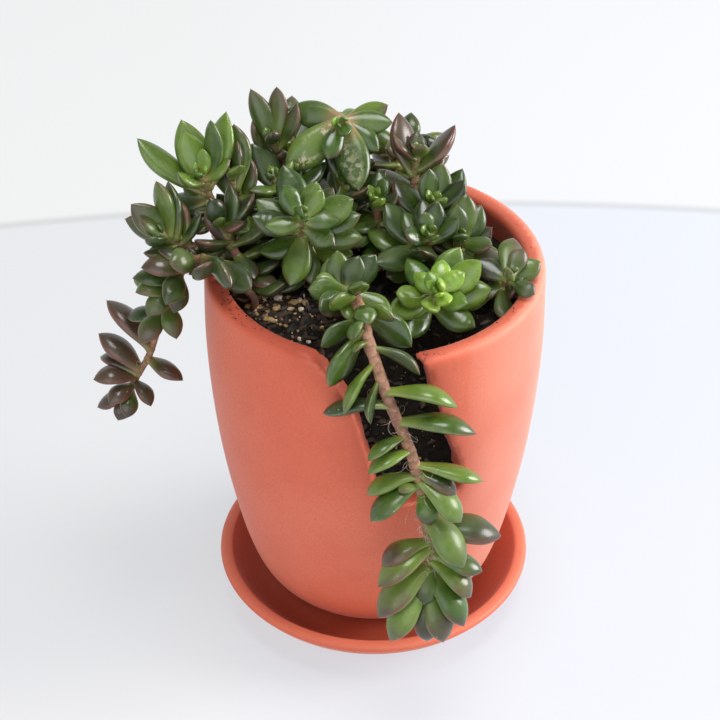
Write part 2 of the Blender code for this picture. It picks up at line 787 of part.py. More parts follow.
def soil_point(low, step, cosine, sine):
    # The ring numbered step, in the direction given by the cosine and sine
    if step < len(low):
        r, z = low[step]
        return (r * cosine, r * sine, z)
    r = POT_INSIDE
    for settle in range(SOIL_SETTLING):
        edge = float(soil_top(r * cosine, r * sine))
        r = float(outer_radius(edge)) - POT_WALL - GAP
    if step == len(low):
        z = (low[-1][1] + edge) / 2
        r = float(outer_radius(z)) - POT_WALL - GAP
        return (r * cosine, r * sine, z)
    if step > len(low) + 1:
        r = r * SOIL_RINGS[step - len(low) - 2]
    return (r * cosine, r * sine, float(soil_top(r * cosine, r * sine)))


def make_stem_holes():
    points = []
    faces = []
    for stem in STEMS.values():
        x, y, foot = stem["path"][0]
        radius = (stem["radius"] + GAP) / math.cos(math.pi / HOLE_SIDES)
        first = len(points)
        for z in (foot - GAP, HOLE_TOP):
            for k in range(HOLE_SIDES):
                a = 2 * math.pi * k / HOLE_SIDES
                points.append((x + radius * math.cos(a), y + radius * math.sin(a), z))
        ring = list(range(first, first + HOLE_SIDES))
        faces.append(ring[::-1])
        faces.append([k + HOLE_SIDES for k in ring])
        for k in range(HOLE_SIDES):
            j = (k + 1) % HOLE_SIDES
            faces.append([ring[k], ring[j], ring[j] + HOLE_SIDES, ring[k] + HOLE_SIDES])
    return mesh_object("stem_holes", points, faces)


def make_stem(name, stem):
    path = stem_path(stem["path"], PATH_STEPS)
    tangents = np.gradient(path, axis=0)
    tangents[0] = path[1] - path[0]
    side = np.array([1.0, 0.0, 0.0])
    points = []
    for k, (centre, tangent) in enumerate(zip(path, tangents)):
        tangent = unit(tangent)
        side = unit(side - (side @ tangent) * tangent)
        across = np.cross(tangent, side)
        share = k / (len(path) - 1)
        radius = stem["radius"] * (1.0 - (1.0 - STEM_TAPER) * share)
        for i in range(STEM_SIDES):
            a = 2 * math.pi * i / STEM_SIDES
            points.append(centre + radius * (math.cos(a) * side + math.sin(a) * across))
    points.append(path[-1] + unit(tangents[-1]) * stem["radius"])
    faces = [list(range(STEM_SIDES))[::-1]]
    for k in range(len(path) - 1):
        low = k * STEM_SIDES
        for i in range(STEM_SIDES):
            j = (i + 1) % STEM_SIDES
            faces.append([low + i, low + j, low + j + STEM_SIDES, low + i + STEM_SIDES])
    low = (len(path) - 1) * STEM_SIDES
    for i in range(STEM_SIDES):
        faces.append([low + i, low + (i + 1) % STEM_SIDES, len(points) - 1])
    return mesh_object(name, points, faces)


def make_leaf_object(leaf, collection):
    points = []
    for t in LEAF_SECTIONS:
        centre, normal = leaf_section(leaf, t)
        half = leaf["half"] * leaf_width(t)
        face = centre + half * LEAF_FACE * normal
        points += [face - half * leaf["s"], face + half * leaf["s"], centre - half * LEAF_KEEL * normal]
    points.append(leaf_section(leaf, 1.0)[0])
    faces = [[0, 1, 2]]
    for section in range(len(LEAF_SECTIONS) - 1):
        low = section * 3
        for i in range(3):
            j = (i + 1) % 3
            faces.append([low + i, low + j, low + j + 3, low + i + 3])
    low = (len(LEAF_SECTIONS) - 1) * 3
    for i in range(3):
        faces.append([low + i, low + (i + 1) % 3, len(points) - 1])
    made = mesh_object("leaf", points, faces)
    bpy.context.scene.collection.objects.unlink(made)
    collection.objects.link(made)


def make_leafy_stems():
    leaves = lay_out_leaves()
    for name, stem in STEMS.items():
        made = make_stem(name, stem)
        collection = bpy.data.collections.new(name + "_leaves")
        bpy.context.scene.collection.children.link(collection)
        for leaf in leaves:
            if leaf["stem"] == name:
                make_leaf_object(leaf, collection)
        boolean(made, "UNION", collection, "MANIFOLD")
        drop_inner_shells(made)
        paint(made, name, stem["colour"], LEAF_ROUGHNESS)


clear_scene()
paint(make_pot(), "pot_terracotta", *POT_FINISH)
paint(revolve("saucer", SAUCER, closed=False), "saucer_terracotta", *SAUCER_FINISH)
paint(make_soil(), "potting_soil", *SOIL_FINISH)
make_leafy_stems()
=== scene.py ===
import json
import math
import random

import bmesh
import bpy
import numpy as np
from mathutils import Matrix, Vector, noise


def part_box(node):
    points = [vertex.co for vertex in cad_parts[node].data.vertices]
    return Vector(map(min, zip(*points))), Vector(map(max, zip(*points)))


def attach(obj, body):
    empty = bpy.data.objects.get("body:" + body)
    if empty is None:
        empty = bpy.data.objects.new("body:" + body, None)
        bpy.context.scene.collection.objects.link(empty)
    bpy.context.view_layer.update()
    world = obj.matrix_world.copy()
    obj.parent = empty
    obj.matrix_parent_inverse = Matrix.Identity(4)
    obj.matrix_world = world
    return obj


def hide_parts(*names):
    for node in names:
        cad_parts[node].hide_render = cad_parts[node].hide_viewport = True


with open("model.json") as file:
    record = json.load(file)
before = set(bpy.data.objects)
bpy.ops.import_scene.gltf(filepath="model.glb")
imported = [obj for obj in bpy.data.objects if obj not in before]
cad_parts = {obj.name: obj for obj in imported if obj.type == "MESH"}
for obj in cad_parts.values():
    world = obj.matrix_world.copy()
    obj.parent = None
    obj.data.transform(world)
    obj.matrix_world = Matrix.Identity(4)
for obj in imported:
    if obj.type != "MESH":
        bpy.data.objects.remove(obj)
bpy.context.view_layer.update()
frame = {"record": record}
mm = 0.001    # lengths below are in millimetres, heights above the ground


def unit(v):
    return v / np.linalg.norm(v)


def fadeOut(distance, reach):
    # 1 at no distance, and next to nothing at twice the reach
    return np.exp(-(distance / reach) ** 2)


def curveThrough(rows, steps, straight=0):
    # a smooth curve through every row; the first stretches can stay straight
    p = np.array(rows, float)
    q = np.vstack([2 * p[0] - p[1], p, 2 * p[-1] - p[-2]])
    made = list(p[:straight])
    for i in range(straight, len(p) - 1):
        a, b, c, d = q[i:i + 4]
        for k in range(steps):
            t = k / steps
            made.append(0.5 * (2 * b + (c - a) * t + (2 * a - 5 * b + 4 * c - d) * t * t
                               + (3 * b - a - 3 * c + d) * t ** 3))
    made.append(p[-1])
    return np.array(made)


def readPoints(mesh):
    flat = np.zeros(len(mesh.vertices) * 3, np.float32)
    mesh.vertices.foreach_get("co", flat)
    return flat.reshape(-1, 3).astype(float) / mm


def writePoints(mesh, points):
    mesh.vertices.foreach_set("co", (points * mm).astype(np.float32).ravel())
    mesh.update()


def writeValues(mesh, name, values):
    layer = mesh.attributes.new(name, "FLOAT", "POINT")
    layer.data.foreach_set("value", np.asarray(values, np.float32))


def keepInBox(points, node):
    low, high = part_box(node)
    return np.clip(points, np.array(low) / mm, np.array(high) / mm)


def addToScene(name, data):
    made = bpy.data.objects.new(name, data)
    bpy.context.scene.collection.objects.link(made)
    return made


def makePiece(name, points, faces, attributes=None, smooth=True):
    # points in millimetres; attributes: one value a point for each name
    mesh = bpy.data.meshes.new(name)
    mesh.from_pydata((np.asarray(points, float) * mm).tolist(), [], faces)
    for key, values in (attributes or {}).items():
        writeValues(mesh, key, values)
    bm = bmesh.new()
    bm.from_mesh(mesh)
    bmesh.ops.recalc_face_normals(bm, faces=bm.faces)
    bm.to_mesh(mesh)
    bm.free()
    if smooth:
        mesh.shade_smooth()
    return addToScene(name, mesh)


def applyModifier(piece, kind, **settings):
    change = piece.modifiers.new("change", kind)
    for key, value in settings.items():
        setattr(change, key, value)
    bpy.context.view_layer.objects.active = piece
    bpy.ops.object.modifier_apply(modifier=change.name)


def ringPoints(radius, z, sides):
    turns = [2 * math.pi * k / sides for k in range(sides)]
    return [(radius * math.cos(a), radius * math.sin(a), z) for a in turns]


def turnProfile(name, profile, sides, closed):
    # turns (radius, height) points about the pot's axis; a zero radius becomes one point
    points = []
    rings = []
    for r, z in profile:
        if r < 1e-6:
            rings.append([len(points)] * sides)
            points.append((0.0, 0.0, z))
            continue
        rings.append(list(range(len(points), len(points) + sides)))
        points += ringPoints(r, z, sides)
    faces = []
    pairs = list(zip(rings, rings[1:]))
    if closed:
        pairs.append((rings[-1], rings[0]))
    for low, high in pairs:
        for k in range(sides):
            j = (k + 1) % sides
            corners = list(dict.fromkeys([low[k], low[j], high[j], high[k]]))
            if len(corners) > 2:
                faces.append(corners)
    return makePiece(name, points, faces)


def tubeFaces(rings, sides, first=0):
    # quads between rings of points that follow one another
    faces = []
    for low in range(first, first + (rings - 1) * sides, sides):
        for k in range(sides):
            j = (k + 1) % sides
            faces.append([low + k, low + j, low + j + sides, low + k + sides])
    return faces


def cappedTube(rings, sides):
    # a tube whose last two points close its far end and its near end
    faces = tubeFaces(rings, sides)
    last = (rings - 1) * sides
    for k in range(sides):
        j = (k + 1) % sides
        faces.append([last + k, last + j, rings * sides])
        faces.append([j, k, rings * sides + 1])
    return faces


def addNode(tree, kind, **settings):
    node = tree.nodes.new(kind)
    for key, value in settings.items():
        setattr(node, key, value)
    return node


def join(tree, source, target):
    tree.links.new(source, target)


def setOrJoin(tree, value, target):
    if isinstance(value, (int, float)):
        target.default_value = value
    elif isinstance(value, tuple):
        target.default_value = (*value, 1.0)
    else:
        join(tree, value, target)


def mathNode(tree, operation, first, second=None, clamp=False):
    node = addNode(tree, "ShaderNodeMath", operation=operation, use_clamp=clamp)
    setOrJoin(tree, first, node.inputs[0])
    if second is not None:
        setOrJoin(tree, second, node.inputs[1])
    return node.outputs[0]


def times(tree, first, second):
    return mathNode(tree, "MULTIPLY", first, second)


def plus(tree, first, second):
    return mathNode(tree, "ADD", first, second)


def rangeNode(tree, value, fromLow, fromHigh, toLow=0.0, toHigh=1.0, smooth=True):
    node = addNode(tree, "ShaderNodeMapRange", interpolation_type="SMOOTHSTEP" if smooth else "LINEAR")
    join(tree, value, node.inputs["Value"])
    limits = {"From Min": fromLow, "From Max": fromHigh, "To Min": toLow, "To Max": toHigh}
    for key, limit in limits.items():
        node.inputs[key].default_value = limit
    return node.outputs["Result"]


def mixColour(tree, share, first, second):
    node = addNode(tree, "ShaderNodeMix", data_type="RGBA")
    for index, value in ((0, share), (6, first), (7, second)):
        setOrJoin(tree, value, node.inputs[index])
    return node.outputs[2]


def tint(tree, colour, over, *shares):
    # lays a colour over another as far as the product of the shares
    share = shares[0]
    for factor in shares[1:]:
        share = times(tree, share, factor)
    return mixColour(tree, share, colour, over)


def readValue(tree, name):
    return addNode(tree, "ShaderNodeAttribute", attribute_name=name).outputs["Fac"]


def objectPlace(tree):
    return addNode(tree, "ShaderNodeTexCoord").outputs["Object"]


def separate(tree, vector):
    parts = addNode(tree, "ShaderNodeSeparateXYZ")
    join(tree, vector, parts.inputs[0])
    return parts.outputs


def noiseNode(tree, scale, detail, roughness):
    node = addNode(tree, "ShaderNodeTexNoise")
    join(tree, objectPlace(tree), node.inputs["Vector"])
    for key, value in (("Scale", scale), ("Detail", detail), ("Roughness", roughness)):
        setOrJoin(tree, value, node.inputs[key])
    return node.outputs["Fac"]


def patches(tree, cloud, limits):
    # noise of a scale, detail and roughness, cut to a range
    return rangeNode(tree, noiseNode(tree, *cloud), *limits)


def newGroup(name, inputs, outputs):
    tree = bpy.data.node_groups.new(name, "ShaderNodeTree")
    for label, value in inputs:
        made = tree.interface.new_socket(name=label, in_out="INPUT", socket_type="NodeSocketFloat")
        made.default_value = value
    for label in outputs:
        tree.interface.new_socket(name=label, in_out="OUTPUT", socket_type="NodeSocketFloat")
    return tree, addNode(tree, "NodeGroupInput").outputs, addNode(tree, "NodeGroupOutput").inputs


def specksGroup():
    # small round specks: a mask that is 1 in the middle of each
    tree, given, made = newGroup("specks", (("Scale", 900.0), ("Share", 0.2), ("Size", 0.2)), ("Mask",))
    edgeSharpness = 14.0
    cells = addNode(tree, "ShaderNodeTexVoronoi", feature="F1")
    join(tree, objectPlace(tree), cells.inputs["Vector"])
    join(tree, given["Scale"], cells.inputs["Scale"])
    parts = addNode(tree, "ShaderNodeSeparateColor")
    join(tree, cells.outputs["Color"], parts.inputs["Color"])
    chosen = mathNode(tree, "LESS_THAN", parts.outputs["Red"], given["Share"])
    size = times(tree, parts.outputs["Green"], given["Size"])
    inside = mathNode(tree, "SUBTRACT", size, cells.outputs["Distance"])
    edge = mathNode(tree, "MULTIPLY", inside, edgeSharpness, clamp=True)
    join(tree, times(tree, edge, chosen), made["Mask"])
    return tree


def grainGroup():
    # grain in two sizes: a height, and a slow change of tone
    tree, given, made = newGroup("grain", (("Fine Scale", 1500.0), ("Slow Scale", 30.0)), ("Height", "Tone"))
    join(tree, noiseNode(tree, given["Fine Scale"], 5.0, 0.62), made["Height"])
    join(tree, noiseNode(tree, given["Slow Scale"], 3.0, 0.5), made["Tone"])
    return tree


def upperDustGroup():
    # dust and soil marks that lie on level places
    tree, given, made = newGroup("upperDust", (("Scale", 180.0), ("Cover", 0.5)), ("Mask",))
    facing = addNode(tree, "ShaderNodeNewGeometry").outputs["Normal"]
    level = rangeNode(tree, separate(tree, facing)["Z"], 0.55, 0.95)
    shown = plus(tree, noiseNode(tree, given["Scale"], 6.0, 0.7), given["Cover"])
    join(tree, times(tree, rangeNode(tree, shown, 0.95, 1.15), level), made["Mask"])
    return tree


groups = {"specks": specksGroup(), "grain": grainGroup(), "upperDust": upperDustGroup()}


def placeGroup(tree, name, *values):
    # the values fill the group's inputs in order
    node = addNode(tree, "ShaderNodeGroup", node_tree=groups[name])
    for target, value in zip(node.inputs, values):
        target.default_value = value
    return node.outputs


def startMaterial(name, roughness):
    material = bpy.data.materials.new(name)
    material.use_nodes = True
    tree = material.node_tree
    shader = tree.nodes["Principled BSDF"].inputs
    shader["Roughness"].default_value = roughness
    return material, tree, shader


def addBump(tree, shader, height, strength, distance):
    bump = addNode(tree, "ShaderNodeBump")
    bump.inputs["Strength"].default_value = strength
    bump.inputs["Distance"].default_value = distance
    join(tree, height, bump.inputs["Height"])
    join(tree, bump.outputs["Normal"], shader["Normal"])


potShape = {
    "foot": 4.3, "height": 158.5, "wall": 7.5, "inside": 56.0, "drain": 6.0, "floorTop": 12.3,
    "outer": (
        (4.3, 27.0), (6.0, 31.4), (10.0, 37.6), (20.0, 46.4), (34.0, 51.6), (54.0, 56.0),
        (78.0, 59.9), (104.0, 62.5), (130.0, 63.6), (158.5, 63.0),
    ),
    "floorInside": ((40.5, 23.0), (34.5, 16.0), (25.0, 12.3)),
    # slot edges: degrees from the front toward the right, and height
    "slotLeft": (
        (-24.0, 158.5), (-19.5, 156.0), (-15.5, 151.5), (-11.5, 147.0), (-8.8, 140.5),
        (-6.2, 134.0), (-3.7, 122.0), (-0.5, 108.0), (1.8, 98.0), (3.2, 94.2), (5.2, 92.1), (7.6, 91.5),
    ),
    "slotRight": (
        (12.5, 158.5), (14.6, 157.6), (15.9, 155.6), (17.0, 152.0), (21.2, 136.7), (24.6, 124.0),
        (27.7, 113.0), (30.4, 102.0), (31.8, 97.0), (31.9, 94.2), (30.6, 92.2), (28.4, 91.5),
    ),
    "slotBottom": 91.5, "slotSoil": (10.0, 15.0, 20.0, 25.0, 29.0),
    "cutter": (40.0, 80.0), "cutterTop": 175.0,    # from and to, as radii
    "lip": 2.0, "lipSteps": 8, "profileSteps": 12,
    "sides": 256, "voxel": 1.4, "edgeSoftening": 3, "edgeWidth": 1.6, "edgeBlend": 2.4,
    # stains at the rim: bearing of the middle, spread and strength
    "rimStains": ((-58, 11.0, 1.2), (17, 6.0, 0.9), (60, 30.0, 0.35), (-32, 22.0, 0.45)),
    "stainEverywhere": 0.25, "stainDepth": 4.0,
    "paintedSheenMiddle": 86, "paintedSheenSpread": 55.0,    # the right side, where a pale sheen is painted on
}
terracottaLook = {
    "body": (0.610, 0.114, 0.054), "pale": (0.650, 0.142, 0.072), "deep": (0.420, 0.062, 0.027),
    # paintedSheen: the pale colour of a painted sheen on the pot's lit right side
    "paintedSheen": (0.690, 0.285, 0.200), "edge": (0.760, 0.220, 0.130), "soilMark": (0.050, 0.032, 0.022),
    "roughness": 0.55, "roughFrom": 0.50, "roughTo": 0.66, "sheen": 0.12, "sheenRough": 0.40,
    "fineScale": 1400.0, "slowScale": 24.0, "grainShown": 0.34,
    "blotch": (75.0, 5.0, 0.6), "blotchShown": 0.16,
    # specks: scale, share of the cells that have one, and size
    "pits": (420.0, 0.14, 0.22), "pitsShown": 0.45, "grog": (560.0, 0.10, 0.20), "grogShown": 0.35,
    "wearShown": 0.45, "dustScale": 620.0, "marksShown": 0.85, "bump": 0.28, "bumpDepth": 0.00022,
}


def terracottaMaterial(name, cover, darker):
    look = terracottaLook
    material, tree, shader = startMaterial(name, look["roughness"])
    shader["Sheen Weight"].default_value = look["sheen"]
    shader["Sheen Roughness"].default_value = look["sheenRough"]
    grain = placeGroup(tree, "grain", look["fineScale"], look["slowScale"])
    colour = mixColour(tree, rangeNode(tree, grain["Tone"], 0.35, 0.68), look["body"], look["pale"])
    blotch = patches(tree, look["blotch"], (0.52, 0.75, 0.0, look["blotchShown"]))
    colour = tint(tree, colour, look["deep"], blotch)
    fine = rangeNode(tree, grain["Height"], 0.30, 0.70, 0.0, look["grainShown"])
    colour = tint(tree, colour, look["deep"], fine)
    pits = placeGroup(tree, "specks", *look["pits"])["Mask"]
    colour = tint(tree, colour, look["deep"], pits, look["pitsShown"])
    grog = placeGroup(tree, "specks", *look["grog"])["Mask"]
    colour = tint(tree, colour, look["edge"], grog, look["grogShown"])
    uneven = rangeNode(tree, grain["Tone"], 0.2, 0.7, 0.55, 1.0)
    # painted sheen: paler on the pot's right side, where the light falls
    colour = tint(tree, colour, look["paintedSheen"], readValue(tree, "paintedSheenSide"), uneven)
    wear = rangeNode(tree, readValue(tree, "edgeWear"), 0.15, 1.0, 0.0, look["wearShown"])
    colour = tint(tree, colour, look["edge"], wear)
    # darker where painted shade and damp are marked
    colour = tint(tree, colour, look["deep"], readValue(tree, "paintedShadeAndDampTone"), darker)
    dust = placeGroup(tree, "upperDust", look["dustScale"], cover)["Mask"]
    colour = tint(tree, colour, look["soilMark"], dust, readValue(tree, "soilNear"), look["marksShown"])
    join(tree, colour, shader["Base Color"])
    rough = rangeNode(tree, grain["Height"], 0.25, 0.75, look["roughFrom"], look["roughTo"], smooth=False)
    join(tree, rough, shader["Roughness"])
    addBump(tree, shader, mathNode(tree, "SUBTRACT", grain["Height"], pits), look["bump"], look["bumpDepth"])
    return material


def outerRadius(z):
    return np.interp(z, [p[0] for p in potShape["outer"]], [p[1] for p in potShape["outer"]])


def slotDistance(points):
    # how far each point of the wall is from the slot's edge, in millimetres
    azimuth = np.degrees(np.arctan2(points[:, 0], -points[:, 1]))
    r = np.hypot(points[:, 0], points[:, 1])
    border = np.array(list(potShape["slotLeft"]) + list(potShape["slotRight"])[::-1], float)
    arc = np.radians(azimuth) * r
    farOff = 1e9
    best = np.full(len(points), farOff)
    for (a0, z0), (a1, z1) in zip(border, border[1:]):
        x0, x1 = np.radians(a0) * r, np.radians(a1) * r
        dx, dz = x1 - x0, z1 - z0
        t = np.clip(((arc - x0) * dx + (points[:, 2] - z0) * dz) / (dx * dx + dz * dz), 0, 1)
        best = np.minimum(best, np.hypot(arc - x0 - t * dx, points[:, 2] - z0 - t * dz))
    return np.where(points[:, 1] < 0, best, farOff)


def makeSlotCutter():
    top = potShape["cutterTop"]
    outline = [(potShape["slotLeft"][0][0], top)] + list(potShape["slotLeft"])
    outline += list(potShape["slotRight"])[::-1] + [(potShape["slotRight"][0][0], top)]
    points = []
    for radius in potShape["cutter"]:
        for azimuth, z in outline:
            a = math.radians(azimuth)
            points.append((radius * math.sin(a), -radius * math.cos(a), z))
    n = len(outline)
    faces = [list(range(n)), list(range(2 * n - 1, n - 1, -1))]
    for k in range(n):
        j = (k + 1) % n
        faces.append([k, k + n, j + n, j])
    cutter = makePiece("slotCutter", points, faces, smooth=False)
    applyModifier(cutter, "TRIANGULATE")
    return cutter


def makePot():
    wall, top, lip, lipSteps = (potShape[key] for key in ("wall", "height", "lip", "lipSteps"))
    curve = curveThrough(potShape["outer"], potShape["profileSteps"])

    def outside(heights):
        return np.interp(heights, curve[:, 0], curve[:, 1])

    heights = np.concatenate([np.linspace(potShape["foot"], 20, 14), np.linspace(22, 156.4, 68)])
    profile = [(potShape["drain"], potShape["foot"])]
    profile += [(float(outside(z)), float(z)) for z in heights]
    rimOuter = potShape["outer"][-1][1]
    for quarter, middle in ((0, rimOuter - lip), (1, rimOuter - wall + lip)):
        for k in range(lipSteps + 1):
            a = math.pi / 2 * (quarter + k / lipSteps)
            profile.append((middle + lip * math.cos(a), top - lip + lip * math.sin(a)))
    profile += [(float(outside(z)) - wall, float(z)) for z in np.linspace(154, 36, 60)]
    profile += list(potShape["floorInside"]) + [(potShape["drain"], potShape["floorTop"])]
    pot = turnProfile("terracottaPot", profile, potShape["sides"], True)
    cutter = makeSlotCutter()
    applyModifier(pot, "BOOLEAN", operation="DIFFERENCE", solver="EXACT", object=cutter)
    bpy.data.objects.remove(cutter, do_unlink=True)
    applyModifier(pot, "REMESH", mode="VOXEL", voxel_size=potShape["voxel"] * mm, adaptivity=0.0)
    applyModifier(pot, "SMOOTH", factor=0.5, iterations=potShape["edgeSoftening"])
    # away from the edges every point goes back to the turned surface
    points = readPoints(pot.data)
    r = np.hypot(points[:, 0], points[:, 1])
    z = points[:, 2]
    target = outside(z)
    fromEdge = np.minimum(slotDistance(points), top - z)
    hold = np.clip((fromEdge - potShape["edgeWidth"]) / potShape["edgeBlend"], 0, 1)
    hold = hold * hold * (3 - 2 * hold)
    for offset in (0.0, wall):
        near = (np.abs(r - (target - offset)) < 1.0) & (z > 12.0)
        share = np.where(near, hold, 0.0)
        scale = 1 + share * ((target - offset) / np.maximum(r, 1e-6) - 1)
        points[:, 0] *= scale
        points[:, 1] *= scale
    points = keepInBox(points, "pot")
    writePoints(pot.data, points)
    pot.data.shade_smooth()
    # what the material reads: worn edges, darker places with painted shade, a painted sheen on the right side
    # and soil on the rim
    fromSlot = slotDistance(points)
    x = points[:, 0]
    azimuth = np.degrees(np.arctan2(x, -points[:, 1]))
    fromTop = np.maximum(0, top - z)
    fromCorner = np.minimum(np.abs(r - target), np.abs(r - target + wall))
    edge = np.minimum(fromSlot, np.hypot(fromTop, 0.6 * fromCorner))
    # darker on the inner face and toward the foot, and painted shade along the slot's edges
    paintedShadeAndDamp = np.clip((target - 3.0 - r) / 2.0, 0, 1) * 0.75 + 0.9 * fadeOut(fromSlot, 6.0) * (r < target - 1.0)
    paintedShadeAndDamp = paintedShadeAndDamp + 0.55 * fadeOut(z - 6, 22.0) + 0.75 * fadeOut(fromSlot, 7.0)
    # painted shade on the rim's top at the left, where the leaves shade it
    paintedShadeAndDamp = paintedShadeAndDamp + 1.7 * fadeOut(z - top, 1.6) * np.clip((-8 - x) / 12, 0, 1)
    # a painted sheen on the right side, where the window light falls
    paintedSheen = np.clip(1 - np.abs(azimuth - potShape["paintedSheenMiddle"]) / potShape["paintedSheenSpread"], 0, 1) ** 0.55
    stains = potShape["stainEverywhere"]
    for bearing, spread, strength in potShape["rimStains"]:
        stains = stains + strength * fadeOut(azimuth - bearing, spread)
    writeValues(pot.data, "edgeWear", fadeOut(edge, 1.3))
    writeValues(pot.data, "paintedShadeAndDampTone", paintedShadeAndDamp)
    writeValues(pot.data, "paintedSheenSide", paintedSheen * (r > target - 3.0))
    writeValues(pot.data, "soilNear", stains * fadeOut(fromTop, potShape["stainDepth"]))
    return pot


saucerShape = {
    "section": (
        (0.0, 0.0), (41.0, 0.0), (46.0, 1.6), (53.0, 6.2), (59.0, 12.0), (62.2, 16.2), (62.5, 17.4),
        (61.8, 18.4), (60.2, 18.8), (58.2, 18.5), (57.2, 17.4), (54.6, 13.0), (49.6, 7.6), (44.0, 4.7),
        (38.0, 4.0), (0.0, 4.0),
    ),
    "sides": 192, "steps": 4, "lipHeight": 18.8, "insideRadius": 58.0, "floorTop": 3.9,
    "insideDamp": 0.55, "footDamp": 0.5, "soilInside": 0.3,
}


def makeSaucer():
    rows = saucerShape["section"]
    body = curveThrough(rows[1:-1], saucerShape["steps"])
    profile = [rows[0]] + [(max(0.5, float(r)), max(0.0, float(z))) for r, z in body] + [rows[-1]]
    # the flat middle is cut into rings so that its grain and light stay even
    for share in (0.75, 0.5, 0.25):
        profile.insert(len(profile) - 1, (rows[-2][0] * share, rows[-2][1]))
        profile.insert(1, (rows[1][0] * share, 0.0))
    saucer = turnProfile("terracottaSaucer", profile, saucerShape["sides"], False)
    points = keepInBox(readPoints(saucer.data), "saucer")
    writePoints(saucer.data, points)
    r = np.hypot(points[:, 0], points[:, 1])
    z = points[:, 2]
    inside = np.clip((saucerShape["insideRadius"] - r) / 3.0, 0, 1) * (z > saucerShape["floorTop"])
    foot = fadeOut(z, 3.0) * (r > 40)
    writeValues(saucer.data, "edgeWear", fadeOut(z - saucerShape["lipHeight"], 0.9))
    writeValues(saucer.data, "paintedShadeAndDampTone", inside * saucerShape["insideDamp"] + saucerShape["footDamp"] * foot)
    writeValues(saucer.data, "soilNear", saucerShape["soilInside"] * inside)
    return saucer


soilShape = {
    "level": 147.0, "mound": 2.5, "wave": 0.5, "repose": 2.2, "fromWall": 0.3,
    # below the surface: radius and height, from the pot's floor up
    "under": ((15.7, 25.3), (22.7, 34.3), (37.0, 36.5), (44.0, 34.3), (48.2, 54.0), (52.1, 78.0)),
    "sides": 220, "rings": 92, "clods": 1.15, "crumbs": 0.45,
    "pebbles": 900, "paleShare": 0.10,
    # patches of grit: reached below this draw, x and its spread, y and its spread, share of pale grains
    "patches": ((0.22, -36, 5, -13, 5, 0.50), (0.34, -26, 9, -26, 8, 0.30), (0.52, 10, 9, -44, 7, 0.10)),
    # tones run from dark bark to white grit; sizes are half widths
    "paleTone": (0.62, 0.92), "barkTone": (0.0, 0.5), "paleSize": (0.3, 0.9), "barkSize": (0.35, 1.6),
    "roundFrom": 0.75, "flatFrom": 0.7, "chipStretch": (1.6, 0.8, 0.5), "lumpy": 0.28,
    # crumbs on the rim: bearing, spread and how many
    "rimCrumbs": ((-60.0, 7.0, 34), (16.6, 1.8, 15), (60.0, 26.0, 14)), "crumbGap": (-23.0, 13.2),
    "crumbRadius": (56.6, 61.6), "crumbSize": (0.10, 0.34), "pebbleSeed": 5,
}
soilLook = {
    "peat": (0.005, 0.004, 0.003), "loam": (0.016, 0.011, 0.007), "bark": (0.050, 0.028, 0.014),
    "tan": (0.40, 0.25, 0.10), "white": (0.74, 0.68, 0.58), "roughness": 0.92, "specular": 0.18,
    "chips": (520.0, 0.20, 0.42), "chipsShown": 0.8, "sand": (1150.0, 0.07, 0.35), "sandShown": 0.85,
    "grain": (900.0, 200.0), "bump": 0.8, "bumpDepth": 0.0008,
    "pebbleGrain": (2400.0, 300.0), "pebbleBump": 0.5, "pebbleBumpDepth": 0.0003,
}


def slotFloor():
    # points along the slot's lower border on the wall's inner face
    border = [p for p in potShape["slotLeft"] if p[1] < soilShape["level"] + soilShape["mound"]]
    border += [(azimuth, potShape["slotBottom"]) for azimuth in potShape["slotSoil"]]
    points = []
    for azimuth, z in border:
        r = outerRadius(z) - potShape["wall"]
        points.append((r * math.sin(math.radians(azimuth)), -r * math.cos(math.radians(azimuth)), z))
    return np.array(points)


slotBorder = slotFloor()


def soilTop(x, y):
    # a gentle mound that falls away to the slot's lower border
    x = np.asarray(x, float)
    y = np.asarray(y, float)
    r = np.hypot(x, y)
    mound = soilShape["mound"] * np.cos(np.minimum(r / potShape["inside"], 1.0) * math.pi / 2)
    level = soilShape["level"] + mound
    level = level + soilShape["wave"] * np.sin(0.21 * x + 0.4) * np.sin(0.18 * y - 0.7)
    away = np.hypot(x[..., None] - slotBorder[:, 0], y[..., None] - slotBorder[:, 1])
    slope = (slotBorder[:, 2] + soilShape["repose"] * away).min(axis=-1)
    return np.minimum(level, slope)


def soilEdge(cosine, sine):
    # how far out the soil's surface meets the wall in the direction of the cosine and sine
    r = potShape["inside"]
    for settle in range(6):
        height = float(soilTop(r * cosine, r * sine))
        r = float(outerRadius(height)) - potShape["wall"] - soilShape["fromWall"]
    return r


def clodHeight(x, y, z):
    place = Vector((x, y, z))
    big = noise.fractal(place * 0.16, 0.9, 2.1, 3)
    small = noise.fractal(place * 0.62, 0.8, 2.0, 3)
    return soilShape["clods"] * big + soilShape["crumbs"] * small


def soilMaterial():
    look = soilLook
    material, tree, shader = startMaterial("peatMix", look["roughness"])
    shader["Specular IOR Level"].default_value = look["specular"]
    cloud = patches(tree, (420.0, 6.0, 0.7), (0.35, 0.72))
    colour = mixColour(tree, cloud, look["peat"], look["loam"])
    chips = placeGroup(tree, "specks", *look["chips"])["Mask"]
    colour = tint(tree, colour, look["bark"], chips, look["chipsShown"])
    sand = placeGroup(tree, "specks", *look["sand"])["Mask"]
    colour = tint(tree, colour, look["tan"], sand, look["sandShown"])
    join(tree, colour, shader["Base Color"])
    join(tree, patches(tree, (260.0, 4.0, 0.6), (0.3, 0.7, 0.62, 1.0)), shader["Roughness"])
    grain = placeGroup(tree, "grain", *look["grain"])
    addBump(tree, shader, grain["Height"], look["bump"], look["bumpDepth"])
    return material


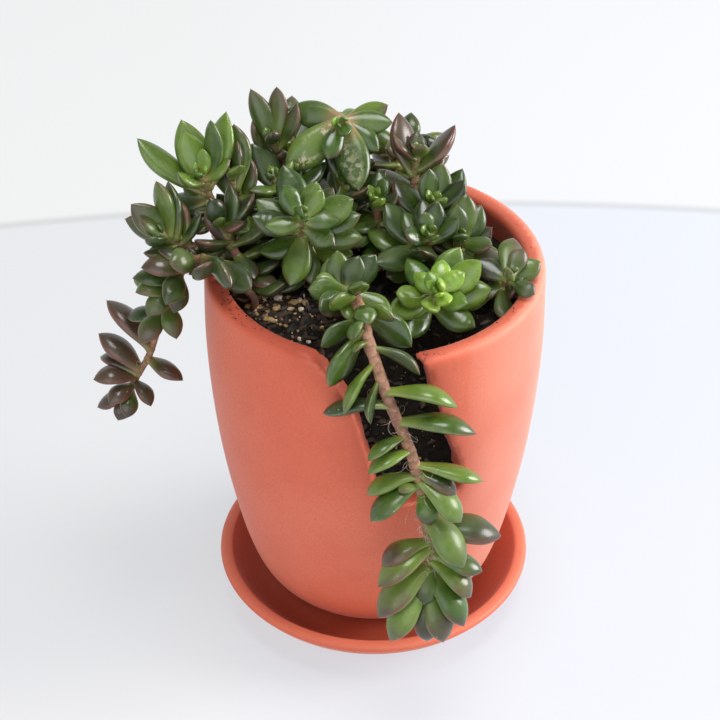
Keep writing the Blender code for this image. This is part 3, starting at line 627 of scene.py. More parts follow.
def pebbleMaterial():
    look = soilLook
    material, tree, shader = startMaterial("gritAndBark", 0.85)
    tone = readValue(tree, "pebbleTone")
    colour = mixColour(tree, rangeNode(tree, tone, 0.0, 0.45), look["peat"], look["bark"])
    colour = tint(tree, colour, look["tan"], rangeNode(tree, tone, 0.45, 0.75))
    colour = tint(tree, colour, look["white"], rangeNode(tree, tone, 0.78, 1.0))
    colour = tint(tree, colour, look["loam"], patches(tree, (1300.0, 4.0, 0.6), (0.45, 0.72, 0.0, 0.7)))
    join(tree, colour, shader["Base Color"])
    grain = placeGroup(tree, "grain", *look["pebbleGrain"])
    join(tree, rangeNode(tree, grain["Tone"], 0.3, 0.7, 0.7, 0.95), shader["Roughness"])
    addBump(tree, shader, grain["Height"], look["pebbleBump"], look["pebbleBumpDepth"])
    return material


def makeSoil():
    sides = soilShape["sides"]
    count = soilShape["rings"]
    turns = [2 * math.pi * k / sides for k in range(sides)]
    edges = [soilEdge(math.cos(a), math.sin(a)) for a in turns]
    points = [(0.0, 0.0, soilShape["under"][0][1])]
    rings = []
    for r, z in soilShape["under"]:
        rings.append(list(range(len(points), len(points) + sides)))
        points += ringPoints(r, z, sides)
    for step in range(1, count):
        share = 1 - (step / count) ** 0.9 if step > 1 else 1.0
        ease = min(1.0, (1 - share) * 18)    # no clods at the wall
        rings.append(list(range(len(points), len(points) + sides)))
        for a, edge in zip(turns, edges):
            r = edge * share
            x, y = r * math.cos(a), r * math.sin(a)
            z = float(soilTop(x, y))
            points.append((x, y, z + clodHeight(x, y, z) * ease - 0.5 * (1 - ease)))
    centre = float(soilTop(0.0, 0.0))
    points.append((0.0, 0.0, centre + clodHeight(0.0, 0.0, centre)))
    faces = []
    for k in range(sides):
        j = (k + 1) % sides
        faces.append([0, rings[0][j], rings[0][k]])
        faces.append([rings[-1][k], rings[-1][j], len(points) - 1])
        for lower, upper in zip(rings, rings[1:]):
            faces.append([lower[k], lower[j], upper[j], upper[k]])
    return makePiece("pottingSoil", points, faces)


def pebblePlaces(chance):
    # most bits lie anywhere on the soil, pale grit in patches at the front left and behind the slot
    places = []
    frontPatch = soilShape["patches"][0][0]
    for k in range(soilShape["pebbles"]):
        patch = chance.random()
        for upTo, xMiddle, xSpread, yMiddle, ySpread, paleShare in soilShape["patches"]:
            if patch < upTo:
                x = chance.gauss(xMiddle, xSpread)
                y = chance.gauss(yMiddle, ySpread)
                break
        else:
            a = chance.uniform(0, 2 * math.pi)
            r = 54 * math.sqrt(chance.random())
            x, y = r * math.cos(a), r * math.sin(a)
            paleShare = soilShape["paleShare"]
        away = math.hypot(x, y)
        if away > soilEdge(x / away, y / away) - 1.2:
            continue
        pale = chance.random() < paleShare
        tone = chance.uniform(*soilShape["paleTone" if pale else "barkTone"])
        size = chance.uniform(*soilShape["paleSize" if pale else "barkSize"])
        if pale and patch < frontPatch:
            size = 0.4 + 1.2 * chance.random() ** 2
        if pale and chance.random() < 0.08:
            tone = 1.0
        z = float(soilTop(x, y))
        places.append((x, y, z + clodHeight(x, y, z) + size * 0.12, size, tone))
    gapFrom, gapTo = soilShape["crumbGap"]
    for bearing, spread, count in soilShape["rimCrumbs"]:
        for k in range(count):
            a = math.radians(chance.gauss(bearing, spread))
            r = chance.uniform(*soilShape["crumbRadius"])
            if gapFrom < math.degrees(a) < gapTo:
                continue
            size = chance.uniform(*soilShape["crumbSize"])
            z = potShape["height"] + size * 0.2
            tone = chance.uniform(*soilShape["barkTone"])
            places.append((r * math.sin(a), -r * math.cos(a), z, size, tone))
    return places


def ball(subdivisions):
    bm = bmesh.new()
    bmesh.ops.create_icosphere(bm, subdivisions=subdivisions, radius=1.0)
    points = np.array([v.co[:] for v in bm.verts])
    faces = [[v.index for v in f.verts] for f in bm.faces]
    bm.free()
    return points, faces


def flatTurn(chance):
    a = chance.uniform(0, 2 * math.pi)
    tilt = chance.gauss(0, 0.25)
    spin = np.array([[math.cos(a), math.sin(a), 0], [-math.sin(a), math.cos(a), 0], [0, 0, 1]])
    lean = np.array([[1, 0, 0], [0, math.cos(tilt), math.sin(tilt)], [0, -math.sin(tilt), math.cos(tilt)]])
    return spin @ lean


def makePebbles():
    chance = random.Random(soilShape["pebbleSeed"])
    largeBall, smallBall = ball(2), ball(1)
    points, faces, tones = [], [], []
    for x, y, z, size, tone in pebblePlaces(chance):
        shape, cells = largeBall if size > soilShape["roundFrom"] else smallBall
        stretch = np.array([chance.uniform(0.7, 1.5), chance.uniform(0.6, 1.2), chance.uniform(0.45, 0.9)])
        if tone < soilShape["barkTone"][1] and size > soilShape["flatFrom"]:
            stretch = stretch * np.array(soilShape["chipStretch"])    # bark chips are long and flat
        turn = np.linalg.qr(np.array([[chance.gauss(0, 1) for c in range(3)] for r in range(3)]))[0]
        shift = Vector((chance.uniform(0, 50), 0, 0))
        bumps = np.array([noise.noise(Vector(p * 1.4) + shift) for p in shape])
        body = shape * (1 + soilShape["lumpy"] * bumps)[:, None] * stretch
        body = body @ turn if size < soilShape["flatFrom"] else body @ flatTurn(chance)
        first = len(points)
        points.extend((body * size + np.array([x, y, z])).tolist())
        faces.extend([[c + first for c in face] for face in cells])
        tones.extend([tone] * len(shape))
    return makePiece("gritAndBark", points, faces, {"pebbleTone": tones})


# tone: how purple, young and bloomed the leaves are; tipTone: the same at the stem's tip
# late: the leaves are widest nearer their tips; slim: share of the stem from and to, and how much narrower
# rosy: pink leaf bases; flecked: pale scurf on the large leaves
# path: centre line from the foot in the soil to the tip
# leaves: start and end of a group as shares of the stem's length, then one row a leaf:
# bearing from the front toward the right, rise above the horizontal, length, and width factor
stems = {
    "hero_rosette": {
        "tone": (0.12, 0.1, 0.05), "tipTone": (0.1, 0.2, 0.03), "radius": 2.0,
        "path": ((-18, 8, 138), (-18, 8, 150.5), (-22, 4, 158), (-26, -3, 172), (-26, -12, 186)),
        "leaves": (
            (0.48, 0.64, ((-45, -40, 21), (5, -48, 15), (-80, -15, 18))),
            (0.7, 0.99, (
                (-18, -40, 20), (88, -6, 22), (-115, 24, 21), (98, 6, 22), (128, 34, 19), (-155, 46, 24),
                (-92, 10, 19), (68, -24, 14), (104, 16, 21), (150, 44, 16), (-84, -4, 14), (90, 2, 13),
                (134, 20, 13), (-135, 42, 14), (-10, 62, 7),
            )),
        ),
    },
    "front_trailing_stem": {
        "tone": (0.12, 0.22, 0.1), "tipTone": (0.38, 0.72, 0.46), "late": 1.14, "slim": (0.36, 0.68, 0.8),
        "radius": 2.3,
        "path": (
            (-14, -20, 138), (-14, -20, 150.5), (-13, -26, 158), (-9, -36, 170), (-5, -48, 170),
            (-3, -58, 167), (1, -66, 158), (5, -70, 147), (9, -72, 137), (13, -74, 126), (16, -75, 112),
            (18, -76, 98), (20, -76, 84), (19, -77, 68),
        ),
        "leaves": (
            (0.15, 0.24, (
                (-150, 50, 16), (130, 38, 20), (-172, 48, 17), (150, 48, 15), (-85, 35, 14), (72, -18, 17),
                (-45, 0, 16), (0, -12, 12),
            )),
            (0.3, 0.38, ((70, -26, 22), (-60, -15, 18), (-45, -40, 23), (-40, 15, 9))),
            (0.39, 0.52, ((75, -20, 20), (-45, -42, 21), (-35, -60, 17), (84, -5, 26), (-78, -14, 25))),
            (0.56, 0.67, ((86, -4, 28), (-50, -6, 17), (-58, -6, 18), (88, -18, 25))),
            (0.69, 0.74, (
                (80, -26, 17), (-88, -22, 20), (62, -30, 22), (-62, -25, 22), (-60, 20, 10), (25, -46, 13),
            )),
            (0.79, 0.84, ((46, -40, 25), (80, -14, 28))),
            (0.88, 0.95, ((-75, -20, 20), (-62, -25, 24), (80, -20, 20), (62, -30, 21), (-10, -48, 15))),
            (0.95, 1.0, ((-60, -34, 27), (50, -42, 25), (-38, -50, 29), (28, -54, 25), (4, -60, 24))),
        ),
    },
    "bright_rosette": {
        "tone": (0, 0.0, 0), "tipTone": (0, 1.2, 0), "radius": 2.0,
        "path": ((16, -16, 138), (16, -16, 150.5), (19, -21, 154), (22, -28, 163), (22, -33, 169)),
        "leaves": (
            (0.55, 0.99, (
                (-25, -12, 18), (68, -22, 19), (-58, -2, 19), (98, 2, 22), (-68, 22, 17), (145, 40, 21),
                (-140, 28, 18), (115, 24, 21), (56, 8, 13), (-20, 5, 12), (-130, 20, 12), (170, 36, 13),
                (120, 20, 12), (25, 0, 9), (-150, 30, 8), (20, 60, 7),
            )),
        ),
    },
    "dark_centre_rosette": {
        "tone": (0.2, 0.03, 0.08),
        "path": ((14, 6, 138), (14, 6, 150.5), (17, 2, 156), (19, -1, 166), (20, -5, 173)),
        "leaves": (
            (0.59, 0.99, (
                (-110, 20, 23), (-15, 5, 15), (40, 5, 15), (-125, 34, 23), (-62, -2, 22), (-135, 25, 15),
                (105, 30, 15), (155, 48, 15), (-170, 50, 16), (-55, 25, 13), (-150, 65, 9),
            )),
        ),
    },
    "dark_right_rosette": {
        "tone": (0.35, 0, 0.12),
        "path": ((28, 10, 138), (28, 10, 150.5), (29, 6, 154), (31, 3, 162), (31, 0, 168)),
        "leaves": (
            (0.55, 0.99, (
                (88, 12, 18), (110, 28, 18), (-135, 36, 17), (140, 44, 19), (165, 40, 20), (-165, 44, 17),
                (60, 10, 14), (-20, 50, 8),
            )),
        ),
    },
    "right_rim_rosette": {
        "tone": (0.45, 0.1, 0.45), "late": 1.3, "radius": 1.5,
        "path": ((42, -6, 138), (42, -6, 150.5), (44, -10, 152), (47, -16, 160), (49, -21, 166)),
        "leaves": (
            (0.65, 0.99, (
                (35, -40, 19), (-40, -14, 19), (75, 0, 20), (-155, 26, 20), (115, 8, 15), (170, 20, 19),
                (-125, 10, 14), (55, -12, 11), (155, 24, 13), (-10, 45, 7),
            )),
        ),
    },
    "back_right_upright_stem": {
        "tone": (0.75, 0.1, 0.25), "radius": 1.8,
        "path": ((13, 22, 138), (13, 22, 150.5), (14, 27, 160), (15, 30, 174), (16, 33, 184)),
        "leaves": (
            (0.62, 0.99, (
                (-60, 10, 16), (100, 5, 16), (-125, 8, 17), (135, 30, 18), (-160, 50, 25), (125, 34, 23),
                (178, 50, 13), (-100, 40, 14), (20, 50, 10),
            )),
        ),
    },
    "back_right_rosette": {
        "tone": (0.3, 0.1, 0.08), "radius": 1.8,
        "path": ((20, 16, 138), (20, 16, 150.5), (21, 15, 156), (21, 14, 166), (22, 13, 175)),
        "leaves": (
            (0.62, 0.99, (
                (120, 0, 17), (140, 42, 25), (-130, 34, 22), (164, 48, 21), (-165, 36, 17), (100, 30, 16),
                (30, 45, 9),
            )),
        ),
    },
    "arched_top_stem": {
        "tone": (0.3, 0.1, 0.08), "tipTone": (0.16, 0.38, 0.12), "rosy": 0.8, "flecked": 0.9,
        "path": (
            (-8, 44, 138), (-8, 44, 150.5), (-10, 46, 168), (-12, 45, 185), (-12, 38, 195), (-12, 32, 198),
        ),
        "leaves": (
            (0.6, 0.72, ((80, 10, 14), (-90, 10, 14))),
            (0.83, 0.99, (
                (105, 15, 19), (-165, -25, 15), (150, -15, 14), (88, -6, 19), (-108, 2, 22), (60, -30, 18),
                (-60, -30, 28), (28, -48, 28), (-25, -36, 16), (10, -5, 9),
            )),
        ),
    },
    "upper_left_rosette": {
        "tone": (0.35, 0.12, 0.1), "tipTone": (0.14, 0.42, 0.08), "rosy": 0.3,
        "path": ((-46, 14, 138), (-46, 14, 150.5), (-54, 13, 162), (-60, 12, 176), (-63, 11, 188)),
        "leaves": (
            (0.6, 0.76, ((-100, 8, 18), (60, 10, 15), (-30, -10, 15), (-130, 15, 15))),
            (0.85, 0.99, (
                (-112, 30, 33, 0.72), (-150, 46, 28, 0.9), (162, 54, 29, 0.85), (140, 45, 27, 0.8),
                (-150, 50, 21), (-60, 30, 13), (100, 40, 13), (170, 66, 11),
            )),
        ),
    },
    "left_rim_rosette": {
        "tone": (0.42, 0.05, 0.45), "radius": 1.8,
        "path": (
            (-45, 4, 138), (-45, 4, 150.5), (-50, 2, 159), (-60, -1, 165), (-70, -4, 168), (-77, -6, 174),
        ),
        "leaves": (
            (0.58, 0.66, ((-20, -20, 15), (-65, -24, 16))),
            (0.72, 0.99, (
                (-40, -30, 14), (165, 35, 18), (-85, -22, 17), (-160, 44, 22), (-105, 10, 24), (130, 40, 14),
                (-60, -5, 14), (175, 50, 22), (-120, 34, 20), (-145, 50, 22), (-40, 20, 11), (-80, 45, 12),
            )),
        ),
    },
    "left_hanging_sprig": {
        "tone": (0.22, 0.05, 0.35), "tipTone": (0.85, 0.12, 0.12), "rosy": 0.45, "radius": 1.6,
        "path": (
            (-44, -14, 138), (-44, -14, 150.5), (-50, -14, 158), (-62, -14, 169), (-71, -13, 161),
            (-77, -12, 146), (-82, -10, 130), (-85, -10, 121), (-90, -9, 111), (-95, -9, 100),
        ),
        "leaves": (
            (0.3, 0.44, ((52, -10, 20), (-120, 5, 17), (-5, -30, 15))),
            (0.49, 0.61, (
                (-40, -20, 15), (-60, 5, 15), (-130, 5, 18), (20, -40, 14), (-35, -25, 16), (-110, -20, 16),
            )),
            (0.77, 0.81, ((-125, 32, 25), (62, -20, 16))),
            (0.87, 0.99, (
                (-115, 34, 21), (-120, 8, 18), (-72, 14, 17), (45, -30, 12), (-40, -5, 13), (-5, -30, 12),
                (-85, -30, 14), (-30, -45, 10),
            )),
        ),
    },
    "centre_left_rosette": {
        "tone": (0.25, 0.1, 0.12),
        "path": ((-28, 18, 138), (-28, 18, 150.5), (-30, 18, 162), (-34, 19, 173), (-37, 20, 181)),
        "leaves": (
            (0.62, 0.98, (
                (110, -5, 21), (-100, 5, 20), (60, 5, 21), (165, 35, 21), (120, 35, 21), (-140, 38, 21),
                (-40, 20, 16), (90, 55, 11),
            )),
        ),
    },
    "inner_back_rosette": {
        "tone": (0.3, 0.06, 0.12),
        "path": ((-14, 28, 138), (-14, 28, 150.5), (-13, 27, 163), (-11, 25, 176)),
        "leaves": (
            (0.48, 0.98, (
                (80, 0, 22), (150, 10, 23), (-150, 10, 23), (100, 25, 23), (-60, 25, 21), (170, 30, 23),
                (40, 40, 18), (-130, 45, 18),
            )),
        ),
    },
    "centre_back_rosette": {
        "tone": (0.2, 0.1, 0.08),
        "path": ((2, 14, 138), (2, 14, 150.5), (2, 15, 156), (1, 15, 168), (0, 14, 176)),
        "leaves": (
            (0.62, 0.99, (
                (-10, -20, 22), (-55, -4, 19), (105, 16, 21), (-130, 14, 21), (160, 22, 24), (-175, 34, 19),
                (75, 20, 16), (-90, 40, 15), (15, 30, 9), (120, 60, 9),
            )),
        ),
    },
    "back_left_upright_stem": {
        "tone": (0.62, 0.08, 0.35),
        "path": ((-32, 28, 138), (-32, 28, 150.5), (-34, 34, 164), (-36, 37, 178), (-38, 35, 188)),
        "leaves": (
            (0.5, 0.7, ((-60, 0, 15), (10, 0, 14), (180, 20, 15), (-100, 35, 15))),
            (0.8, 0.99, (
                (-108, 55, 20, 0.75), (20, 15, 13), (-60, 20, 13), (112, 52, 21, 0.78), (-128, 62, 24, 0.72),
                (172, 66, 22, 0.72), (0, 50, 10),
            )),
        ),
    },
    "middle_left_stem": {
        "tone": (0.34, 0.16, 0.25),
        "path": ((-38, 14, 138), (-38, 14, 150.5), (-46, 14, 160), (-51, 14, 176), (-53, 15, 187)),
        "leaves": (
            (0.62, 0.99, (
                (-100, 10, 16), (20, -15, 15), (130, 36, 20), (-150, 45, 22), (85, 12, 15), (176, 54, 25),
                (-95, 35, 16), (150, 50, 15), (30, 45, 11),
            )),
        ),
    },
    "dark_left_stem": {
        "tone": (0.5, 0.0, 0.35),
        "path": ((-46, -6, 138), (-46, -6, 150.5), (-49, -5, 159), (-53, -2, 168), (-57, 0, 176)),
        "leaves": (
            (0.42, 0.6, ((-50, -20, 18), (60, -5, 15), (-100, 5, 17), (120, 10, 15))),
            (0.66, 0.99, (
                (35, -25, 14), (-130, 38, 21), (110, 38, 17), (-75, 10, 15), (172, 52, 20), (135, 45, 18),
                (-100, 40, 14), (60, 25, 13), (0, 65, 7),
            )),
        ),
    },
    "back_rim_left_stem": {
        "tone": (0.3, 0.1, 0.1),
        "path": ((-24, 40, 138), (-24, 40, 150.5), (-26, 45, 161), (-30, 55, 169), (-33, 66, 172)),
        "leaves": (
            (0.58, 0.99, (
                (150, -40, 20), (-110, -10, 22), (90, -5, 20), (-150, -20, 22), (170, 5, 24), (-90, 25, 19),
                (120, 20, 22), (30, 20, 17), (180, 40, 17), (-140, 45, 14),
            )),
        ),
    },
    "back_rim_stem": {
        "tone": (0.28, 0.12, 0.1),
        "path": ((8, 46, 138), (8, 46, 150.5), (9, 52, 158), (11, 62, 166), (13, 71, 160)),
        "leaves": (
            (0.58, 0.99, (
                (90, 0, 21), (-90, 0, 20), (150, -50, 21), (-150, -45, 21), (120, -10, 23), (-120, -5, 21),
                (180, -20, 23), (60, 25, 17), (-40, 30, 16), (170, 20, 16),
            )),
        ),
    },
}
stemDefaults = {"radius": 1.9, "late": 1.0, "slim": (0.0, 1.0, 1.0), "rosy": 0.0, "flecked": 0.0}
stems = {name: {**stemDefaults, **stem} for name, stem in stems.items()}

leafLayout = {
    "seed": 77, "fineSeed": 9, "halfBase": 1.2, "halfSlope": 0.18, "top": 0.22, "keel": 0.58,
    "stations": np.array([0.0, 0.1, 0.22, 0.36, 0.5, 0.64, 0.78, 0.9, 0.97]), "sides": 8,
    "curl": (18.0, 34.0), "twist": 7.0, "stout": (0.95, 1.05),
    "fineCurl": (20, 34), "fineStout": (0.95, 1.1), "goldenTurn": 137.5,
    "leafGap": 0.45, "ownGap": -0.25, "potGap": 0.5, "stemGap": 0.6,
    # what a place costs: a point in another piece, one in a leaf of the stem, a degree, and lost length
    "otherCost": 1000, "ownCost": 3, "turnCost": 0.12, "shrinkCost": 30, "goodEnough": 12,
    "pathSteps": 6, "tubePoints": 60,
}
# short leaves low on the stems, inside the clump: how many, share of the stem from and to
innerLeaves = {
    "middle_left_stem": (7, 0.34, 0.62), "centre_left_rosette": (7, 0.34, 0.62),
    "dark_left_stem": (4, 0.34, 0.50), "back_left_upright_stem": (7, 0.28, 0.60),
    "inner_back_rosette": (6, 0.45, 0.95), "upper_left_rosette": (7, 0.32, 0.62),
    "left_rim_rosette": (5, 0.32, 0.60), "centre_back_rosette": (6, 0.42, 0.75),
    "dark_centre_rosette": (5, 0.42, 0.75), "dark_right_rosette": (5, 0.42, 0.75),
    "back_right_rosette": (7, 0.36, 0.75), "back_right_upright_stem": (7, 0.32, 0.66),
    "arched_top_stem": (6, 0.24, 0.55), "hero_rosette": (4, 0.34, 0.60),
    "back_rim_left_stem": (6, 0.36, 0.60), "back_rim_stem": (6, 0.36, 0.60),
    "right_rim_rosette": (3, 0.50, 0.70),
}
# single leaves: share of the stem, bearing, rise and length
singleLeaves = {
    "front_trailing_stem": (
        (0.265, -38, 24, 15), (0.290, 14, 16, 14), (0.240, -78, 10, 16), (0.300, 62, 12, 14),
        (0.330, -20, 20, 12), (0.250, 20, 50, 14),
    ),
    "left_hanging_sprig": (
        (0.33, 30, 4, 22), (0.36, -30, 28, 17), (0.40, -70, 30, 17), (0.44, -12, -22, 17), (0.47, -80, 8, 16),
        (0.30, -10, 22, 16), (0.38, 150, 40, 15),
    ),
    "dark_left_stem": ((0.30, -30, 4, 17), (0.36, 25, 0, 18), (0.40, -85, 15, 16), (0.46, -10, -5, 17)),
    "left_rim_rosette": ((0.50, -60, 10, 17), (0.55, 5, -14, 17), (0.62, -35, 0, 17), (0.68, 40, 10, 15)),
    "upper_left_rosette": ((0.80, -98, -12, 21), (0.74, -25, 10, 17), (0.70, 50, 20, 17)),
    "arched_top_stem": ((0.60, 20, 10, 16), (0.66, -40, 20, 16), (0.74, 70, 30, 15)),
}


def heading(bearing, rise):
    b = math.radians(bearing)
    r = math.radians(rise)
    return np.array([math.sin(b) * math.cos(r), -math.cos(b) * math.cos(r), math.sin(r)])


def stemPath(stem, steps):
    # straight in its hole, then a smooth curve
    return curveThrough(stem["path"], steps, straight=1)


def alongStem(path, share):
    lengths = np.linalg.norm(np.diff(path, axis=0), axis=1)
    reached = np.concatenate([[0.0], np.cumsum(lengths)])
    target = share * reached[-1]
    i = min(int(np.searchsorted(reached, target, side="right")) - 1, len(lengths) - 1)
    axis = (path[i + 1] - path[i]) / lengths[i]
    return path[i] + axis * (target - reached[i]), axis


def leafWidth(t):
    # half width along the leaf: a narrow base, widest past the middle, pointed
    return 3.05 * t ** 0.85 * (1 - t) ** 0.72 * (0.86 + 0.14 * t) + 0.38 * (1 - t) ** 4


def fineWidth(t):
    # the same outline as leafWidth, a little fuller past the middle and sharper at the point
    return 4.69 * t ** 1.4 * (1 - t) ** 0.93 + 0.42 * (1 - t) ** 2.5


def leafSection(leaf, t):
    # centre line of even bend toward the leaf's upper side
    k = leaf["curl"]
    turn = k * (t - 0.5)
    ahead = (np.sin(turn) + math.sin(k / 2)) / k
    above = (math.cos(k / 2) - np.cos(turn)) / k
    centre = leaf["base"] + leaf["length"] * (ahead * leaf["d"] + above * leaf["n"])
    normal = leaf["n"] * np.cos(turn) - leaf["d"] * np.sin(turn)
    return centre, normal


def layLeaf(base, axis, bearing, rise, length, curl, twist, stout):
    # d points along the leaf, n out of its upper side and s across it
    d = heading(bearing, rise)
    n = axis - (axis @ d) * d
    lift = np.array([0.0, 0.0, 1.0]) - d[2] * d
    n = unit(n + max(0.0, 0.5 - np.linalg.norm(n)) * lift)
    s = np.cross(d, n)
    turn = math.radians(twist)
    n, s = n * math.cos(turn) + s * math.sin(turn), s * math.cos(turn) - n * math.sin(turn)
    half = (leafLayout["halfBase"] + leafLayout["halfSlope"] * length) * stout
    leaf = {"base": base, "d": d, "n": n, "s": s, "length": length, "curl": math.radians(curl), "half": half}
    stations = leafLayout["stations"]
    centre, normal = leafSection(leaf, stations[:, None])
    along = leaf["curl"] * (stations[:, None] - 0.5)
    width = half * leafWidth(stations)[:, None, None]
    angle = np.radians(np.arange(leafLayout["sides"]) * 45.0)
    up = np.where(np.sin(angle) > 0, leafLayout["top"], leafLayout["keel"]) * np.sin(angle)
    skin = centre[:, None] + width * (np.cos(angle)[None, :, None] * s + up[None, :, None] * normal[:, None])
    leaf["centres"] = centre
    leaf["normals"] = normal
    leaf["tangents"] = np.cos(along) * d + np.sin(along) * n
    leaf["skin"] = skin.reshape(-1, 3)
    leaf["middle"] = centre.mean(axis=0)
    return leaf


def within(points, leaf, margin):
    # which points lie in the leaf grown by the margin, and how far along it
    gap = points[:, None] - leaf["centres"]
    k = (gap ** 2).sum(-1).argmin(1)
    gap = gap[np.arange(len(points)), k]
    t = leafLayout["stations"][k] + (gap * leaf["tangents"][k]).sum(1) / leaf["length"]
    across = gap @ leaf["s"]
    up = (gap * leaf["normals"][k]).sum(1)
    half = leaf["half"] * leafWidth(np.clip(t, 0, 1))
    depth = half * np.where(up > 0, leafLayout["top"], leafLayout["keel"]) + margin
    ends = margin / leaf["length"]
    inside = (across / (half + margin)) ** 2 + (up / depth) ** 2 < 1
    return inside & (t > -ends) & (t < 1 + ends), t


def inPot(points, margin):
    # which points lie in the wall or the soil, grown by the margin
    x, y, z = points.T
    r = np.hypot(x, y)
    azimuth = np.degrees(np.arctan2(x, -y))
    wide = math.degrees(margin / potShape["inside"])
    left, right = (np.interp(z, [p[1] for p in potShape[edge][::-1]], [p[0] for p in potShape[edge][::-1]])
                   for edge in ("slotLeft", "slotRight"))
    inSlot = (azimuth > left + wide) & (azimuth < right - wide) & (z > potShape["slotBottom"] + margin)
    outer = outerRadius(z)
    wall = (r > outer - potShape["wall"] - margin) & (r < outer + margin)
    wall = wall & (z < potShape["height"] + margin) & ~inSlot
    soil = (r < outer - potShape["wall"]) & (z < soilTop(x, y) + margin)
    return wall | soil


def leafTries():
    # small turns and lifts for a leaf that would cross something, the smallest first
    tries = [(0, 0, 1.0)]
    for step in (5, 10, 15, 20, 26, 32):
        half = step // 2
        tries += [(0, step, 1.0), (step, 0, 1.0), (-step, 0, 1.0)]
        tries += [(step, half, 1.0), (-step, half, 1.0), (0, -step, 1.0)]
    for shrink in (0.88, 0.76, 0.64):
        for step in (0, 8, 16, 26):
            half = step // 2
            tries += [(0, step, shrink), (step, half, shrink), (-step, half, shrink), (0, -step, shrink)]
    return tries


def crossings(leaf, name, tubes, placed):
    # points shared with other pieces, and points shared with leaves of the same stem
    skin = leaf["skin"]
    sides = leafLayout["sides"]
    free = skin[2 * sides:]
    others = int(inPot(free, leafLayout["potGap"]).sum())
    size = leaf["length"] / 2 + 8
    for other, (tube, middle, reach) in tubes.items():
        if other != name and np.linalg.norm(leaf["middle"] - middle) < reach + size:
            near = ((free[:, None] - tube) ** 2).sum(-1).min(1)
            others += int((near < (stems[other]["radius"] + leafLayout["stemGap"]) ** 2).sum())
    own = 0
    if not placed["leaves"]:
        return others, own
    outward = np.repeat(leafLayout["stations"], sides) > 0.42
    away = np.linalg.norm(np.array(placed["middles"]) - leaf["middle"], axis=1)
    for k in np.nonzero(away <= (leaf["length"] + np.array(placed["lengths"])) / 2 + 2)[0]:
        other = placed["leaves"][k]
        same = other["stem"] == name
        margin = leafLayout["ownGap"] if same else leafLayout["leafGap"]
        for points, body in ((skin, other), (other["skin"], leaf)):
            inside, t = within(points, body, margin)
            if same:
                own += int((inside & outward & (t > 0.35)).sum())
            else:
                others += int(inside.sum())
    return others, own


def placeLeaf(name, spot, row, nature, tries, tubes, placed, share):
    # the first turn and lift at which the leaf crosses nothing, or the one that crosses least
    best = None
    for turn, lift, shrink in tries:
        leaf = layLeaf(*spot, row[0] + turn, row[1] + lift, row[2] * shrink, *nature)
        others, own = crossings(leaf, name, tubes, placed)
        change = (abs(turn) + abs(lift)) * leafLayout["turnCost"]
        score = others * leafLayout["otherCost"] + own * leafLayout["ownCost"] + change
        score += (1 - shrink) * leafLayout["shrinkCost"]
        if best is None or score < best[0]:
            best = (score, leaf, others)
        if (others == 0 and own == 0) or best[0] < min(change, leafLayout["goodEnough"]):
            break
    if best[2] == 0:
        leaf = best[1]
        leaf["stem"] = name
        leaf["share"] = share
        placed["leaves"].append(leaf)
        placed["middles"].append(leaf["middle"])
        placed["lengths"].append(leaf["length"])


def fineNature(chance):
    twist = leafLayout["twist"]
    return (chance.uniform(*leafLayout["fineCurl"]), chance.uniform(-twist, twist),
            chance.uniform(*leafLayout["fineStout"]))


def layOutLeaves():
    chance = random.Random(leafLayout["seed"])
    tries = leafTries()
    paths = {name: stemPath(stem, leafLayout["pathSteps"]) for name, stem in stems.items()}
    tubes = {}
    count = leafLayout["tubePoints"]
    for name, path in paths.items():
        tube = np.array([alongStem(path, k / count)[0] for k in range(count + 1)])
        middle = tube.mean(axis=0)
        tubes[name] = (tube, middle, np.linalg.norm(tube - middle, axis=1).max())
    placed = {"leaves": [], "middles": [], "lengths": []}
    for name, stem in stems.items():
        for start, end, rows in stem["leaves"]:
            for k, row in enumerate(rows):
                share = start + (end - start) * k / max(1, len(rows) - 1)
                curl = chance.uniform(*leafLayout["curl"])
                twist = chance.uniform(-leafLayout["twist"], leafLayout["twist"])
                stout = chance.uniform(*leafLayout["stout"]) * (row[3] if len(row) > 3 else 1.0)
                spot = alongStem(paths[name], share)
                placeLeaf(name, spot, row, (curl, twist, stout), tries, tubes, placed, share)
    # then the finer ones, in the room that is left
    chance = random.Random(leafLayout["fineSeed"])
    for name, rows in singleLeaves.items():
        for share, *row in rows:
            spot = alongStem(paths[name], share)
            placeLeaf(name, spot, row, fineNature(chance), tries, tubes, placed, share)
    for name, (count, start, end) in innerLeaves.items():
        turn = chance.uniform(-180, 180)
        for k in range(count):
            share = start + (end - start) * k / max(1, count - 1)
            spot = alongStem(paths[name], share)
            nature = fineNature(chance)
            bearing = (turn + k * leafLayout["goldenTurn"]) % 360 - 180
            row = (bearing, chance.uniform(-5, 30), chance.uniform(14, 20))
            placeLeaf(name, spot, row, nature, tries[::2], tubes, placed, share)
    return placed["leaves"]


